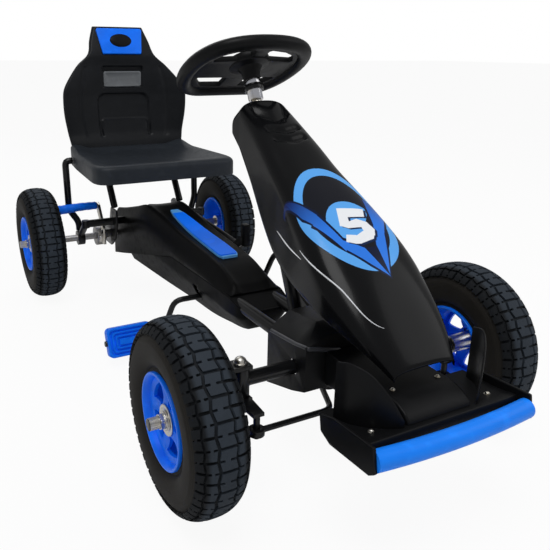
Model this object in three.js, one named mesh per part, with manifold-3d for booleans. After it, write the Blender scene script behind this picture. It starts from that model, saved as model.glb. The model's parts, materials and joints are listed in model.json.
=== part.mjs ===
// Pedal go kart, built as an assembly of named pieces.
// Millimetres, +Z up, the kart faces -Y, the driver's right hand is at -X.
// The origin is on the floor, midway between the front of the bumper and the back of the rear tyres.
import * as THREE from "three";
import { mergeVertices } from "three/addons/utils/BufferGeometryUtils.js";
import Module from "manifold-3d";

const wasm = await Module();
wasm.setup();

// Overall sizes
const WHEELBASE = 868;
const FRONT_TRACK = 486;
const REAR_TRACK = 492;
const TYRE_RADIUS = 130;
const TYRE_WIDTH = 78;
const FRONT_AXLE_Y = -378;
const REAR_AXLE_Y = FRONT_AXLE_Y + WHEELBASE;
const AXLE_Z = TYRE_RADIUS;

// Fits
const GAP = 0.3;
const RUNNING_GAP = 0.25;
const WALL = 3;
const SIDES = 16;
const WHEEL_SIDES = 24;
const BEND_STEPS = 4;

// Wheels
const BEAD_RADIUS = 58;
const RIM_RADIUS = 64;
const RIM_HALF_WIDTH = 34.5;
const AXLE_RADIUS = 8;
const BEARING_WALL = 6;
const BEARING_RADIUS = AXLE_RADIUS + BEARING_WALL;
const HUB_HALF_LENGTH = RIM_HALF_WIDTH - 8;
const AXLE_OVERHANG = 10;
const NUT_WALL = 3;
const NUT_RADIUS = AXLE_RADIUS + NUT_WALL;
const NUT_LENGTH = 8;
const HUB_WALL = 7;
const HUB_RADIUS = BEARING_RADIUS + HUB_WALL;
const SPOKES = 5;

// Frame
const RAIL_RADIUS = 11;
const RAIL_X = 35;
const RAIL_OUTSIDE = RAIL_X + RAIL_RADIUS;
const RAIL_Z = AXLE_Z + 28;
const RAIL_REAR_Y = REAR_AXLE_Y + 16;
const BEAM_RADIUS = 10;
const BEAM_Z = AXLE_Z + 31;
const CROSS_RADIUS = 9;
const CROSS_Y = REAR_AXLE_Y - 60;
const CROSS_Z = RAIL_Z + RAIL_RADIUS + CROSS_RADIUS + GAP;
const BEARING_X = 150;
const BEARING_WIDTH = 16;
const BEARING_HOUSING_RADIUS = AXLE_RADIUS + 10;
const PLATE_X = 81;
const PLATE_THICKNESS = 5;
const PLATE_TOP_Z = AXLE_Z + 81;

// Steering
const KINGPIN_X = FRONT_TRACK / 2 - 81;
const KINGPIN_RADIUS = 7;
const SLEEVE_RADIUS = 12.5;
const SLEEVE_LOW = AXLE_Z + 8;
const SLEEVE_HIGH = AXLE_Z + 50;
const YOKE_THICKNESS = 5;
const STEER_ARM = 46;
const TIE_ROD_Z = AXLE_Z - 21;
const TIE_ROD_RADIUS = 4.2;
const TIE_PIN_RADIUS = 4.5;
const TIE_EYE_RADIUS = 11;
const TIE_EYE_HEIGHT = 9;
const TIE_BEND_X = 44;
const OPEN_EYE_HOLE = 9;
const OPEN_EYE_RADIUS = 13;
const COLUMN_TILT = THREE.MathUtils.degToRad(25);
const COLUMN_RADIUS = 8;
const COLUMN_TUBE_RADIUS = 14;
const COLUMN_TUBE_TOP = 84;
const COLUMN_TUBE_BOTTOM = 430;
const COLUMN_BOTTOM = 462;
const STEERING_HALF_WIDTH = 108;
const STEERING_FAR = 86;
const STEERING_NEAR = -120;
const STEERING_RIM = 25;
const WHEEL_CENTRE_Y = FRONT_AXLE_Y + 284;
const WHEEL_CENTRE_Z = AXLE_Z + 424;

// Pedal drive
const CRANK_Y = FRONT_AXLE_Y + 396;
const CRANK_Z = AXLE_Z - 10;
const CRANK_THROW = 80;
const CRANK_ANGLE = THREE.MathUtils.degToRad(-70);
const CRANK_ROD_RADIUS = 5.5;
const CRANK_ARM_X = 94;
const CRANK_ARM_SPREAD = 16;
const CRANK_BEND = 17;
const CRANK_PLATE = 8;
const CRANK_RING_RADIUS = 12;
const PEDAL_INNER_X = 132;
const PEDAL_LENGTH = 90;
const PEDAL_WIDTH = 58;
const PEDAL_THICKNESS = 20;
const PEDAL_LEAN = THREE.MathUtils.degToRad(-18);
const CHAINRING_RADIUS = 27;
const SPROCKET_RADIUS = 23;
const CHAIN_WIDTH = 6;
const CHAIN_DEPTH = 6;
const DRUM_RADIUS = 24;

// Covers
const COVER_FRONT_Y = FRONT_AXLE_Y + 250;
const COVER_REAR_Y = REAR_AXLE_Y + 36;
const CASE_FRONT_Y = FRONT_AXLE_Y + 202;
const CASE_REAR_Y = REAR_AXLE_Y - 20;
const SEAM_GAP = 0.4;
const TROUGH_DEPTH = 6;
const INSERT_THICKNESS = 7;

// The line where the upper cover meets the lower case, as [y, z] points from front to back.
const SEAM = [
  [COVER_FRONT_Y - 60, AXLE_Z + 24],
  [COVER_FRONT_Y, AXLE_Z + 42],
  [CRANK_Y + 117, AXLE_Z + 39],
  [REAR_AXLE_Y + 60, AXLE_Z - 67],
];

// Upper cover stations: [y, half width of the ridges, height of the ridges, half width at the foot].
const COVER_STATIONS = [
  [COVER_FRONT_Y, 33, AXLE_Z + 52, RAIL_OUTSIDE + 2],
  [COVER_FRONT_Y + 14, 35, AXLE_Z + 60, RAIL_OUTSIDE + 5],
  [COVER_FRONT_Y + 80, 37, AXLE_Z + 80, RAIL_OUTSIDE + 6],
  [CRANK_Y + 97, 39, AXLE_Z + 95, RAIL_OUTSIDE + 7],
  [REAR_AXLE_Y - 240, 42, AXLE_Z + 112, RAIL_OUTSIDE + 10],
  [REAR_AXLE_Y - 190, 44, AXLE_Z + 114, RAIL_OUTSIDE + 11],
  [REAR_AXLE_Y - 120, 46, AXLE_Z + 96, RAIL_OUTSIDE + 12],
  [REAR_AXLE_Y - 40, 47, AXLE_Z + 76, RAIL_OUTSIDE + 12],
  [COVER_REAR_Y, 44, AXLE_Z + 60, RAIL_OUTSIDE + 8],
];

// Hood stations behind or ahead of the front axle: [y, half width, top, bottom], all from the axle.
const HOOD_STATIONS = [
  [281, 29, 340, 331],
  [235, 34, 370, 298],
  [190, 41, 346, 254],
  [138, 50, 316, 194],
  [98, 57, 291, 162],
  [38, 68, 257, 143],
  [-22, 77, 221, 134],
  [-62, 79, 192, 126],
  [-102, 72, 158, 114],
  [-137, 61, 124, 99],
  [-168, 47, 92, 78],
];

// Bumper and wing
const BUMPER_RADIUS = 13;
const BUMPER_HALF_LENGTH = 118.5;
const BUMPER_Y = FRONT_AXLE_Y - 222;
const BUMPER_Z = AXLE_Z + 31;
const BUMPER_BOW = 7;
const END_PLATE_THICKNESS = 4;

// Seat
const SEAT_HALF_WIDTH = 165;
const SEAT_FRONT_Y = REAR_AXLE_Y - 240;
const SEAT_BACK_Y = REAR_AXLE_Y + 60;
const SEAT_TOP_Z = AXLE_Z + 211;
const SEAT_SHELL = 12;
const SEAT_DISH = 10;
const SEAT_SKIRT = 38;
const SEAT_UNDER_Z = SEAT_TOP_Z - SEAT_DISH - SEAT_SHELL;
const LEG_RADIUS = 8;
const LEG_TOP_Z = SEAT_UNDER_Z - LEG_RADIUS - GAP;
const BACK_COLUMNS = 8;

// Backrest stations: [height over the pan, half width, how far back, how far the edges come forward].
const BACK_STATIONS = [
  [-20, 138, -14, 6],
  [10, 144, -8, 12],
  [34, 148, 2, 18],
  [80, 155, 10, 30],
  [119, 156, 14, 38],
  [139, 153, 13, 38],
  [161, 139, 10, 26],
  [194, 111, 6, 8],
  [218, 84, 2, 0],
  [250, 74, 12, -4],
  [282, 62, 24, -4],
];

// Brake and side lever
const BRAKE_PIVOT_Y = REAR_AXLE_Y - 45;
const BRAKE_PIVOT_Z = AXLE_Z + 20;
const BRAKE_LEVER_X = -104;
const BRAKE_PLATE = 6;
const BRAKE_PIN_RADIUS = 5;
const SHOE_GAP = 5;
const GRIP_RADIUS = 13;
const GRIP_OUTER_X = -202;
const GRIP_Y = REAR_AXLE_Y - 10;
const GRIP_Z = AXLE_Z + 78;
const SIDE_RAIL_RADIUS = 8;
const SIDE_LEVER_Y = FRONT_AXLE_Y + 496;
const SIDE_LEVER_Z = AXLE_Z + 48;

const COLOURS = {
  blackPlastic: { color: 0x17181b, roughness: 0.38, metalness: 0 },
  glossBlack: { color: 0x0d0e11, roughness: 0.14, metalness: 0 },
  blackPaint: { color: 0x131416, roughness: 0.3, metalness: 0.3 },
  blue: { color: 0x1062ef, roughness: 0.35, metalness: 0 },
  rubber: { color: 0x1f2227, roughness: 0.8, metalness: 0 },
  zinc: { color: 0xb9bcc0, roughness: 0.3, metalness: 1 },
  steel: { color: 0x8d9095, roughness: 0.35, metalness: 1 },
};

const kart = new THREE.Group();

// ---------- building blocks ----------

function point(x, y, z) {
  return new THREE.Vector3(x, y, z);
}

function solidOf(geometry) {
  const bare = new THREE.BufferGeometry();
  bare.setAttribute("position", geometry.getAttribute("position"));
  bare.setIndex(geometry.index);
  const merged = mergeVertices(bare, 1e-3);
  return new wasm.Manifold(
    new wasm.Mesh({
      numProp: 3,
      vertProperties: merged.getAttribute("position").array,
      triVerts: new Uint32Array(merged.index.array),
    }),
  );
}

function geometryOf(solid) {
  const mesh = solid.getMesh();
  const geometry = new THREE.BufferGeometry();
  geometry.setAttribute("position", new THREE.BufferAttribute(mesh.vertProperties, 3));
  geometry.setIndex(new THREE.BufferAttribute(mesh.triVerts, 1));
  return geometry;
}

// Turns the faces round where they point inwards.
function facingOut(geometry) {
  const position = geometry.getAttribute("position");
  const index = geometry.index.array;
  let volume = 0;
  for (let i = 0; i < index.length; i += 3) {
    const [a, b, c] = [0, 1, 2].map((k) => {
      return new THREE.Vector3().fromBufferAttribute(position, index[i + k]);
    });
    volume += a.dot(b.cross(c));
  }
  if (volume < 0) {
    geometry.setIndex([...index].reverse());
  }
  return geometry;
}

function joined(...geometries) {
  const solids = geometries.map(solidOf);
  return geometryOf(solids.reduce((whole, next) => whole.add(next)));
}

function cutBy(geometry, ...tools) {
  const solids = tools.map(solidOf);
  return geometryOf(solids.reduce((whole, tool) => whole.subtract(tool), solidOf(geometry)));
}

// The radius whose flats, not corners, clear a turning pin of the given radius.
function boreRadius(pinRadius, sides = SIDES) {
  return (pinRadius + RUNNING_GAP) / Math.cos(Math.PI / sides);
}

function block(low, high) {
  const size = high.clone().sub(low);
  const centre = low.clone().add(high).multiplyScalar(0.5);
  return new THREE.BoxGeometry(size.x, size.y, size.z).translate(centre.x, centre.y, centre.z);
}

function bar(from, to, radius, sides = SIDES) {
  const along = to.clone().sub(from);
  const turn = new THREE.Quaternion().setFromUnitVectors(point(0, 1, 0), along.clone().normalize());
  const centre = from.clone().add(to).multiplyScalar(0.5);
  return new THREE.CylinderGeometry(radius, radius, along.length(), sides)
    .applyQuaternion(turn)
    .translate(centre.x, centre.y, centre.z);
}

function barX(fromX, toX, y, z, radius, sides = SIDES) {
  const length = Math.abs(toX - fromX);
  return new THREE.CylinderGeometry(radius, radius, length, sides)
    .rotateY(Math.PI / sides)
    .rotateZ(-Math.PI / 2)
    .translate((fromX + toX) / 2, y, z);
}

function barZ(x, y, lowZ, highZ, radius, sides = SIDES) {
  return bar(point(x, y, lowZ), point(x, y, highZ), radius, sides);
}

// A flat outline in the YZ plane, given as [y, z] points, made thick along X.
function plateX(outline, lowX, highX) {
  const shape = new THREE.Shape(outline.map(([y, z]) => new THREE.Vector2(y, z)));
  return new THREE.ExtrudeGeometry(shape, { depth: highX - lowX, bevelEnabled: false })
    .applyMatrix4(new THREE.Matrix4().set(0, 0, 1, lowX, 1, 0, 0, 0, 0, 1, 0, 0, 0, 0, 0, 1));
}

// A flat outline in the XY plane, given as [x, y] points, made thick along Z.
function plateZ(outline, lowZ, highZ) {
  const shape = new THREE.Shape(outline.map(([x, y]) => new THREE.Vector2(x, y)));
  return new THREE.ExtrudeGeometry(shape, { depth: highZ - lowZ, bevelEnabled: false })
    .translate(0, 0, lowZ);
}

// A round bar along straight runs joined by round bends that start the given distance from each corner.
function bentTube(points, bend, radius, sides = 12) {
  const stations = [{ at: points[0], along: points[1].clone().sub(points[0]).normalize() }];
  for (let i = 1; i < points.length - 1; i += 1) {
    const corner = points[i];
    const before = corner.clone().add(points[i - 1].clone().sub(corner).setLength(bend));
    const after = corner.clone().add(points[i + 1].clone().sub(corner).setLength(bend));
    const curve = new THREE.QuadraticBezierCurve3(before, corner, after);
    for (let step = 0; step <= BEND_STEPS; step += 1) {
      const share = step / BEND_STEPS;
      stations.push({ at: curve.getPoint(share), along: curve.getTangent(share) });
    }
  }
  const end = points[points.length - 1];
  stations.push({ at: end, along: end.clone().sub(points[points.length - 2]).normalize() });
  return tube(stations, radius, sides);
}

function bowedTube(curve, steps, radius, sides = 12) {
  const stations = [];
  for (let step = 0; step <= steps; step += 1) {
    stations.push({ at: curve.getPoint(step / steps), along: curve.getTangent(step / steps) });
  }
  return tube(stations, radius, sides);
}

// Carries one ring along the stations, turning it only as far as the path turns.
function tube(stations, radius, sides) {
  const first = stations[0].along;
  const upright = Math.abs(first.z) > 0.9 ? point(0, 1, 0) : point(0, 0, 1);
  const across = upright.cross(first).normalize();
  let before = first;
  const rings = stations.map(({ at, along }) => {
    across.applyQuaternion(new THREE.Quaternion().setFromUnitVectors(before, along));
    before = along;
    const second = along.clone().cross(across);
    const ring = [];
    for (let i = 0; i < sides; i += 1) {
      const angle = (2 * Math.PI * (i + 0.5)) / sides;
      const spoke = across.clone().multiplyScalar(radius * Math.cos(angle));
      ring.push(spoke.addScaledVector(second, radius * Math.sin(angle)).add(at));
    }
    return ring;
  });
  return loft(rings, "fan");
}

// A skin through rings of equal point counts, closed at both ends.
// The end rings are filled as seen along the given axis, or as a fan when they are round.
function loft(rings, axis) {
  const count = rings[0].length;
  const positions = rings.flat().flatMap((p) => [p.x, p.y, p.z]);
  const flat = (p) => (axis === "y" ? new THREE.Vector2(p.x, p.z) : new THREE.Vector2(p.x, p.y));
  const fill = (ring) => {
    if (axis === "fan") {
      return ring.slice(2).map((_, i) => [0, i + 1, i + 2]);
    }
    const outline = ring.map(flat);
    const faces = THREE.ShapeUtils.triangulateShape(outline, []);
    return THREE.ShapeUtils.isClockWise(outline) ? faces.map((face) => [...face].reverse()) : faces;
  };
  const triangles = [];
  for (let ring = 0; ring < rings.length - 1; ring += 1) {
    for (let i = 0; i < count; i += 1) {
      const j = (i + 1) % count;
      const a = ring * count + i;
      const b = ring * count + j;
      triangles.push([a, b, b + count], [a, b + count, a + count]);
    }
  }
  const last = (rings.length - 1) * count;
  for (const [i, j, k] of fill(rings[0])) {
    triangles.push([k, j, i]);
  }
  for (const [i, j, k] of fill(rings.at(-1))) {
    triangles.push([last + i, last + j, last + k]);
  }
  const geometry = new THREE.BufferGeometry();
  geometry.setAttribute("position", new THREE.Float32BufferAttribute(positions, 3));
  geometry.setIndex(triangles.flat());
  return facingOut(geometry);
}

// A closed [radius, across] profile turned about the X axis, centred at the given point.
function turnedX(profile, centre, sides = WHEEL_SIDES) {
  const points = profile.map(([radius, across]) => {
    return new THREE.Vector2(radius / Math.cos(Math.PI / sides), across);
  });
  points.push(points[0].clone());
  const turned = new THREE.LatheGeometry(points, sides)
    .rotateY(Math.PI / sides)
    .rotateZ(-Math.PI / 2)
    .translate(centre.x, centre.y, centre.z);
  return facingOut(turned);
}

function add(name, geometry, finish) {
  const mesh = new THREE.Mesh(geometry, new THREE.MeshStandardMaterial(COLOURS[finish]));
  mesh.name = name;
  mesh.geometry.computeVertexNormals();
  kart.add(mesh);
}

function sideName(side) {
  return side < 0 ? "right" : "left";
}

const SIDE_SIGNS = [-1, 1];

// ---------- wheels ----------

function tyreGeometry(centre) {
  const half = TYRE_WIDTH / 2;
  const crown = TYRE_RADIUS;
  const outer = [
    [BEAD_RADIUS + GAP, RIM_HALF_WIDTH - 5],
    [RIM_RADIUS + GAP, RIM_HALF_WIDTH - 5],
    [RIM_RADIUS + GAP, RIM_HALF_WIDTH - 1],
    [crown - 50, half - 1],
    [crown - 24, half],
    [crown - 6, half - 11],
    [crown, half - 26],
  ];
  const inner = [
    [crown - 12, half - 24],
    [crown - 32, half - 10],
    [BEAD_RADIUS + GAP, RIM_HALF_WIDTH - 14],
  ];
  const mirrored = (list) => list.map(([radius, across]) => [radius, -across]);
  const profile = [
    ...outer,
    ...mirrored(outer).reverse(),
    ...mirrored(inner).reverse(),
    ...inner,
  ];
  return turnedX(profile, centre);
}

function rimGeometry(side, centre) {
  const face = RIM_HALF_WIDTH;
  const bead = face - 5 + GAP;
  const barrel = [
    [BEAD_RADIUS, -bead],
    [BEAD_RADIUS, bead],
    [RIM_RADIUS, bead],
    [RIM_RADIUS, face],
    [RIM_RADIUS - 3, face],
    [BEAD_RADIUS - 5, face - 9],
    [BEAD_RADIUS - 5, 9 - face],
    [RIM_RADIUS - 3, -face],
    [RIM_RADIUS, -face],
    [RIM_RADIUS, -bead],
  ];
  const hub = [
    [BEARING_RADIUS + GAP, -face + 4],
    [BEARING_RADIUS + GAP, face - 12],
    [HUB_RADIUS, face - 12],
    [HUB_RADIUS, -face + 4],
  ];
  const solids = [turnedX(barrel, centre), turnedX(hub, centre, SIDES)];
  const reach = BEAD_RADIUS - 2;
  for (let i = 0; i < SPOKES; i += 1) {
    const spoke = new THREE.BoxGeometry(40, 16, reach - HUB_RADIUS + 3)
      .translate(-side * 6, 0, (reach + HUB_RADIUS - 3) / 2)
      .rotateX((2 * Math.PI * i) / SPOKES)
      .translate(centre.x, centre.y, centre.z);
    solids.push(spoke);
  }
  return joined(...solids);
}

function bearingGeometry(centre) {
  const bore = AXLE_RADIUS + RUNNING_GAP;
  const end = HUB_HALF_LENGTH;
  const profile = [
    [bore, -end],
    [bore, end],
    [BEARING_RADIUS, end],
    [BEARING_RADIUS, -end],
  ];
  return turnedX(profile, centre, SIDES);
}

function nut(side, faceX, y, z) {
  const endX = faceX + side * NUT_LENGTH;
  const hexagon = barX(faceX, endX, y, z, NUT_RADIUS, 6);
  return cutBy(hexagon, barX(faceX - side, endX + side, y, z, AXLE_RADIUS + GAP));
}

function addWheel(prefix, side, track, y) {
  const centre = point((side * track) / 2, y, AXLE_Z);
  const name = `${prefix}_${sideName(side)}`;
  add(`${name}_tyre`, tyreGeometry(centre), "rubber");
  add(`${name}_rim`, rimGeometry(side, centre), "blue");
  add(`${name}_hub`, bearingGeometry(centre), "zinc");
  const nutX = centre.x + side * (HUB_HALF_LENGTH + GAP);
  add(`${name}_nut`, nut(side, nutX, y, AXLE_Z), "zinc");
}

// ---------- frame ----------

function addRails() {
  for (const side of SIDE_SIGNS) {
    const x = side * RAIL_X;
    const rail = bar(point(x, FRONT_AXLE_Y, RAIL_Z), point(x, RAIL_REAR_Y, RAIL_Z), RAIL_RADIUS);
    const saddle = barX(x - 20, x + 20, FRONT_AXLE_Y, BEAM_Z, BEAM_RADIUS + GAP + 0.2);
    const low = point(x - 20, FRONT_AXLE_Y - 1, RAIL_Z - 20);
    const high = point(x + 20, FRONT_AXLE_Y + 2, RAIL_Z + 20);
    const front = block(low, high);
    add(`rail_${sideName(side)}`, cutBy(rail, saddle, front), "blackPaint");
  }
}

function addFrontBeam() {
  const solids = [barX(-KINGPIN_X, KINGPIN_X, FRONT_AXLE_Y, BEAM_Z, BEAM_RADIUS)];
  const bores = [];
  for (const side of SIDE_SIGNS) {
    const x = side * KINGPIN_X;
    solids.push(barZ(x, FRONT_AXLE_Y, SLEEVE_LOW, SLEEVE_HIGH, SLEEVE_RADIUS));
    bores.push(barZ(x, FRONT_AXLE_Y, SLEEVE_LOW - 5, SLEEVE_HIGH + 5, boreRadius(KINGPIN_RADIUS)));
  }
  add("front_beam", cutBy(joined(...solids), ...bores), "blackPaint");
}

// One welded frame: a cross tube, an axle bearing at each end, and two plates that carry the seat.
function addRearFrame() {
  const solids = [barX(-BEARING_X, BEARING_X, CROSS_Y, CROSS_Z, CROSS_RADIUS)];
  const holes = [];
  for (const side of SIDE_SIGNS) {
    const x = side * BEARING_X;
    const inner = x - (side * BEARING_WIDTH) / 2;
    const outer = x + (side * BEARING_WIDTH) / 2;
    solids.push(barX(inner, outer, REAR_AXLE_Y, AXLE_Z, BEARING_HOUSING_RADIUS));
    solids.push(bar(point(x, REAR_AXLE_Y - 6, AXLE_Z + 8), point(x, CROSS_Y, CROSS_Z), CROSS_RADIUS - 1));
    solids.push(bar(point(x, CROSS_Y, CROSS_Z - 9), point(x, CROSS_Y, CROSS_Z + 9), CROSS_RADIUS));
    holes.push(barX(inner - side * 9, outer + side * 9, REAR_AXLE_Y, AXLE_Z, boreRadius(AXLE_RADIUS)));
    const plateLow = Math.min(side * PLATE_X, side * (PLATE_X + PLATE_THICKNESS));
    solids.push(plateX(rearPlateOutline(), plateLow, plateLow + PLATE_THICKNESS));
    holes.push(barX(side * (PLATE_X - 5), side * (PLATE_X + 12), REAR_AXLE_Y, AXLE_Z, AXLE_RADIUS + 3));
  }
  const pinX = BRAKE_LEVER_X - BRAKE_PLATE / 2 - 3;
  solids.push(barX(pinX, -PLATE_X, BRAKE_PIVOT_Y, BRAKE_PIVOT_Z, BRAKE_PIN_RADIUS));
  add("rear_frame", cutBy(joined(...solids), ...holes), "blackPaint");
}

function rearPlateOutline() {
  const front = CROSS_Y - 34;
  const rear = REAR_AXLE_Y + 18;
  return [
    [front, CROSS_Z - 4],
    [CROSS_Y - 14, BRAKE_PIVOT_Z - 14],
    [CROSS_Y + 18, AXLE_Z - 16],
    [rear, AXLE_Z - 16],
    [rear, AXLE_Z + 16],
    [CROSS_Y + 20, CROSS_Z],
    [CROSS_Y + 6, PLATE_TOP_Z],
    [front, PLATE_TOP_Z],
  ];
}

function seatHalfWidth(y) {
  const share = (y - SEAT_FRONT_Y) / (SEAT_BACK_Y - SEAT_FRONT_Y);
  return SEAT_HALF_WIDTH * (1 - 0.12 * share ** 2);
}

function addSeatLegs() {
  const rearY = REAR_AXLE_Y + 22;
  for (const side of SIDE_SIGNS) {
    const post = BEARING_X + 18;
    const rear = bentTube(
      [
        point(side * BEARING_X, REAR_AXLE_Y + 6, AXLE_Z + BEARING_HOUSING_RADIUS + GAP),
        point(side * BEARING_X, REAR_AXLE_Y + 6, AXLE_Z + BEARING_HOUSING_RADIUS + 20),
        point(side * post, rearY, AXLE_Z + BEARING_HOUSING_RADIUS + 50),
        point(side * post, rearY, LEG_TOP_Z + 6),
        point(side * (seatHalfWidth(rearY - LEG_RADIUS) + 2 * GAP), rearY, LEG_TOP_Z + 6),
      ],
      11, LEG_RADIUS,
    );
    add(`seat_leg_rear_${sideName(side)}`, rear, "blackPaint");
    const plateMiddle = side * (PLATE_X + PLATE_THICKNESS / 2);
    const front = bentTube(
      [
        point(plateMiddle, CROSS_Y - 20, PLATE_TOP_Z + 6),
        point(plateMiddle, CROSS_Y + 42, LEG_TOP_Z),
        point(plateMiddle, SEAT_FRONT_Y + 50, LEG_TOP_Z),
      ],
      30, LEG_RADIUS,
    );
    add(`seat_leg_front_${sideName(side)}`, front, "blackPaint");
  }
}

// ---------- drive ----------

// Each bearing plate hangs from the inner side of a rail.
function addCrankBearings() {
  for (const side of SIDE_SIGNS) {
    const inner = side * (RAIL_X - RAIL_RADIUS - CRANK_PLATE + 1);
    const outer = side * (RAIL_X - RAIL_RADIUS + 1);
    const low = point(Math.min(inner, outer), CRANK_Y - 12, CRANK_Z);
    const high = point(Math.max(inner, outer), CRANK_Y + 12, RAIL_Z + 4);
    const ring = barX(inner, outer, CRANK_Y, CRANK_Z, CRANK_RING_RADIUS);
    const bore = barX(inner - side * 4, outer + side * 4, CRANK_Y, CRANK_Z, boreRadius(CRANK_ROD_RADIUS));
    const rail = bar(
      point(side * RAIL_X, CRANK_Y - 40, RAIL_Z),
      point(side * RAIL_X, CRANK_Y + 40, RAIL_Z),
      RAIL_RADIUS + GAP,
    );
    const plate = joined(ring, block(low, high));
    add(`crank_bearing_${sideName(side)}`, cutBy(plate, bore, rail), "blackPaint");
  }
}

function crankEnd(side) {
  return point(
    side * (PEDAL_INNER_X + PEDAL_LENGTH + 4),
    CRANK_Y - side * CRANK_THROW * Math.cos(CRANK_ANGLE),
    CRANK_Z - side * CRANK_THROW * Math.sin(CRANK_ANGLE),
  );
}

function addCrank() {
  const halves = SIDE_SIGNS.map((side) => {
    const end = crankEnd(side);
    return [
      end,
      point(side * (CRANK_ARM_X + CRANK_ARM_SPREAD), end.y, end.z),
      point(side * CRANK_ARM_X, CRANK_Y, CRANK_Z),
    ];
  });
  const route = [...halves[0], ...halves[1].reverse()];
  add("crank_rod", bentTube(route, CRANK_BEND, CRANK_ROD_RADIUS), "blackPaint");
  add("chainring", sprocket(CRANK_Y, CRANK_Z, CHAINRING_RADIUS, CRANK_ROD_RADIUS), "steel");
  add("rear_sprocket", sprocket(REAR_AXLE_Y, AXLE_Z, SPROCKET_RADIUS, AXLE_RADIUS), "steel");
}

function sprocket(y, z, radius, shaftRadius) {
  const disc = barX(-1.6, 1.6, y, z, radius, 24);
  const collar = barX(-8, 8, y, z, shaftRadius + 6);
  return cutBy(joined(disc, collar), barX(-12, 12, y, z, shaftRadius + GAP));
}

// The chain's closed line at a given distance outside both sprockets, as [y, z] points.
function chainLine(offset) {
  const front = CHAINRING_RADIUS + offset;
  const rear = SPROCKET_RADIUS + offset;
  const run = Math.hypot(REAR_AXLE_Y - CRANK_Y, AXLE_Z - CRANK_Z);
  const tilt = Math.atan2(AXLE_Z - CRANK_Z, REAR_AXLE_Y - CRANK_Y);
  const wrap = Math.acos((front - rear) / run);
  const line = [];
  const arc = (y, z, radius, from, to) => {
    for (let i = 0; i <= 8; i += 1) {
      const angle = from + ((to - from) * i) / 8;
      line.push([y + radius * Math.cos(angle), z + radius * Math.sin(angle)]);
    }
  };
  arc(CRANK_Y, CRANK_Z, front, tilt + wrap, tilt + 2 * Math.PI - wrap);
  arc(REAR_AXLE_Y, AXLE_Z, rear, tilt - wrap, tilt + wrap);
  return line;
}

function addChain() {
  const slack = 0.8;
  const half = CHAIN_WIDTH / 2;
  const outside = plateX(chainLine(slack + CHAIN_DEPTH), -half, half);
  const inside = plateX(chainLine(slack), -half - 1, half + 1);
  add("drive_chain", cutBy(outside, inside), "steel");
}

function addPedals() {
  for (const side of SIDE_SIGNS) {
    const end = crankEnd(side);
    const x = side * (PEDAL_INNER_X + PEDAL_LENGTH / 2);
    const corner = 8;
    const halfLength = PEDAL_LENGTH / 2;
    const halfWidth = PEDAL_WIDTH / 2;
    const outline = [
      [-halfLength, -halfWidth + corner],
      [-halfLength + corner, -halfWidth],
      [halfLength - corner, -halfWidth],
      [halfLength, -halfWidth + corner],
      [halfLength, halfWidth - corner],
      [halfLength - corner, halfWidth],
      [-halfLength + corner, halfWidth],
      [-halfLength, halfWidth - corner],
    ];
    const body = plateZ(outline, -PEDAL_THICKNESS / 2, PEDAL_THICKNESS / 2)
      .rotateX(Math.PI / 2 + PEDAL_LEAN)
      .translate(x, end.y, end.z);
    const bore = barX(x - PEDAL_LENGTH, x + PEDAL_LENGTH, end.y, end.z, boreRadius(CRANK_ROD_RADIUS));
    add(`pedal_${sideName(side)}`, cutBy(body, bore), "blue");
  }
}

function addRearAxle() {
  const reach = REAR_TRACK / 2 + TYRE_WIDTH / 2 + AXLE_OVERHANG;
  add("rear_axle", barX(-reach, reach, REAR_AXLE_Y, AXLE_Z, AXLE_RADIUS), "steel");
  const inner = BRAKE_LEVER_X - 9;
  const drum = barX(inner, inner + 18, REAR_AXLE_Y, AXLE_Z, DRUM_RADIUS, 24);
  const bore = barX(inner - 5, inner + 25, REAR_AXLE_Y, AXLE_Z, AXLE_RADIUS + GAP);
  add("brake_drum", cutBy(drum, bore), "steel");
}

// ---------- covers ----------

// Everything on one side of the seam, moved off it by the given height.
function seamSide(offset, farZ) {
  const line = SEAM.map(([y, z]) => [y, z + offset]);
  const [frontY] = line[0];
  const [rearY] = line[line.length - 1];
  return plateX([...line, [rearY, farZ], [frontY, farZ]], -120, 120);
}

// One ring of the upper cover: a ridge on each side and a shallow trough between them.
function coverRing([y, topHalf, topZ, sideHalf], inset, low) {
  const half = sideHalf - inset;
  const ridge = topHalf - inset;
  const trough = topZ - inset;
  const right = [
    [half, low],
    [half, topZ - 34],
    [ridge, trough],
    [ridge * 0.66, trough - TROUGH_DEPTH],
  ];
  const left = right.map(([x, z]) => [-x, z]).reverse();
  return [...right, ...left].map(([x, z]) => point(x, y, z));
}

// Moves the first and the last station inwards, so a shell's inside stops short of its ends.
function insideStations(stations, first, last) {
  return stations.map((station, i) => {
    const shift = i === 0 ? first : i === stations.length - 1 ? last : 0;
    return [station[0] + shift, ...station.slice(1)];
  });
}

function coverShell() {
  const outer = loft(COVER_STATIONS.map((station) => coverRing(station, 0, AXLE_Z - 70)), "y");
  const inside = insideStations(COVER_STATIONS, WALL, -WALL);
  const inner = loft(inside.map((station) => coverRing(station, WALL, AXLE_Z - 80)), "y");
  return cutBy(outer, inner, seamSide(SEAM_GAP, AXLE_Z - 100));
}

function addChainCover() {
  const rails = SIDE_SIGNS.map((side) => {
    const x = side * RAIL_X;
    const front = point(x, COVER_FRONT_Y - 20, RAIL_Z);
    const back = point(x, COVER_FRONT_Y + 30, RAIL_Z);
    return bar(front, back, RAIL_RADIUS + 1);
  });
  const axle = barX(-100, 100, REAR_AXLE_Y, AXLE_Z, AXLE_RADIUS + 5);
  const cross = barX(-100, 100, CROSS_Y, CROSS_Z, CROSS_RADIUS + 1);
  add("chain_cover", cutBy(coverShell(), ...rails, axle, cross), "blackPlastic");
}

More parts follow.
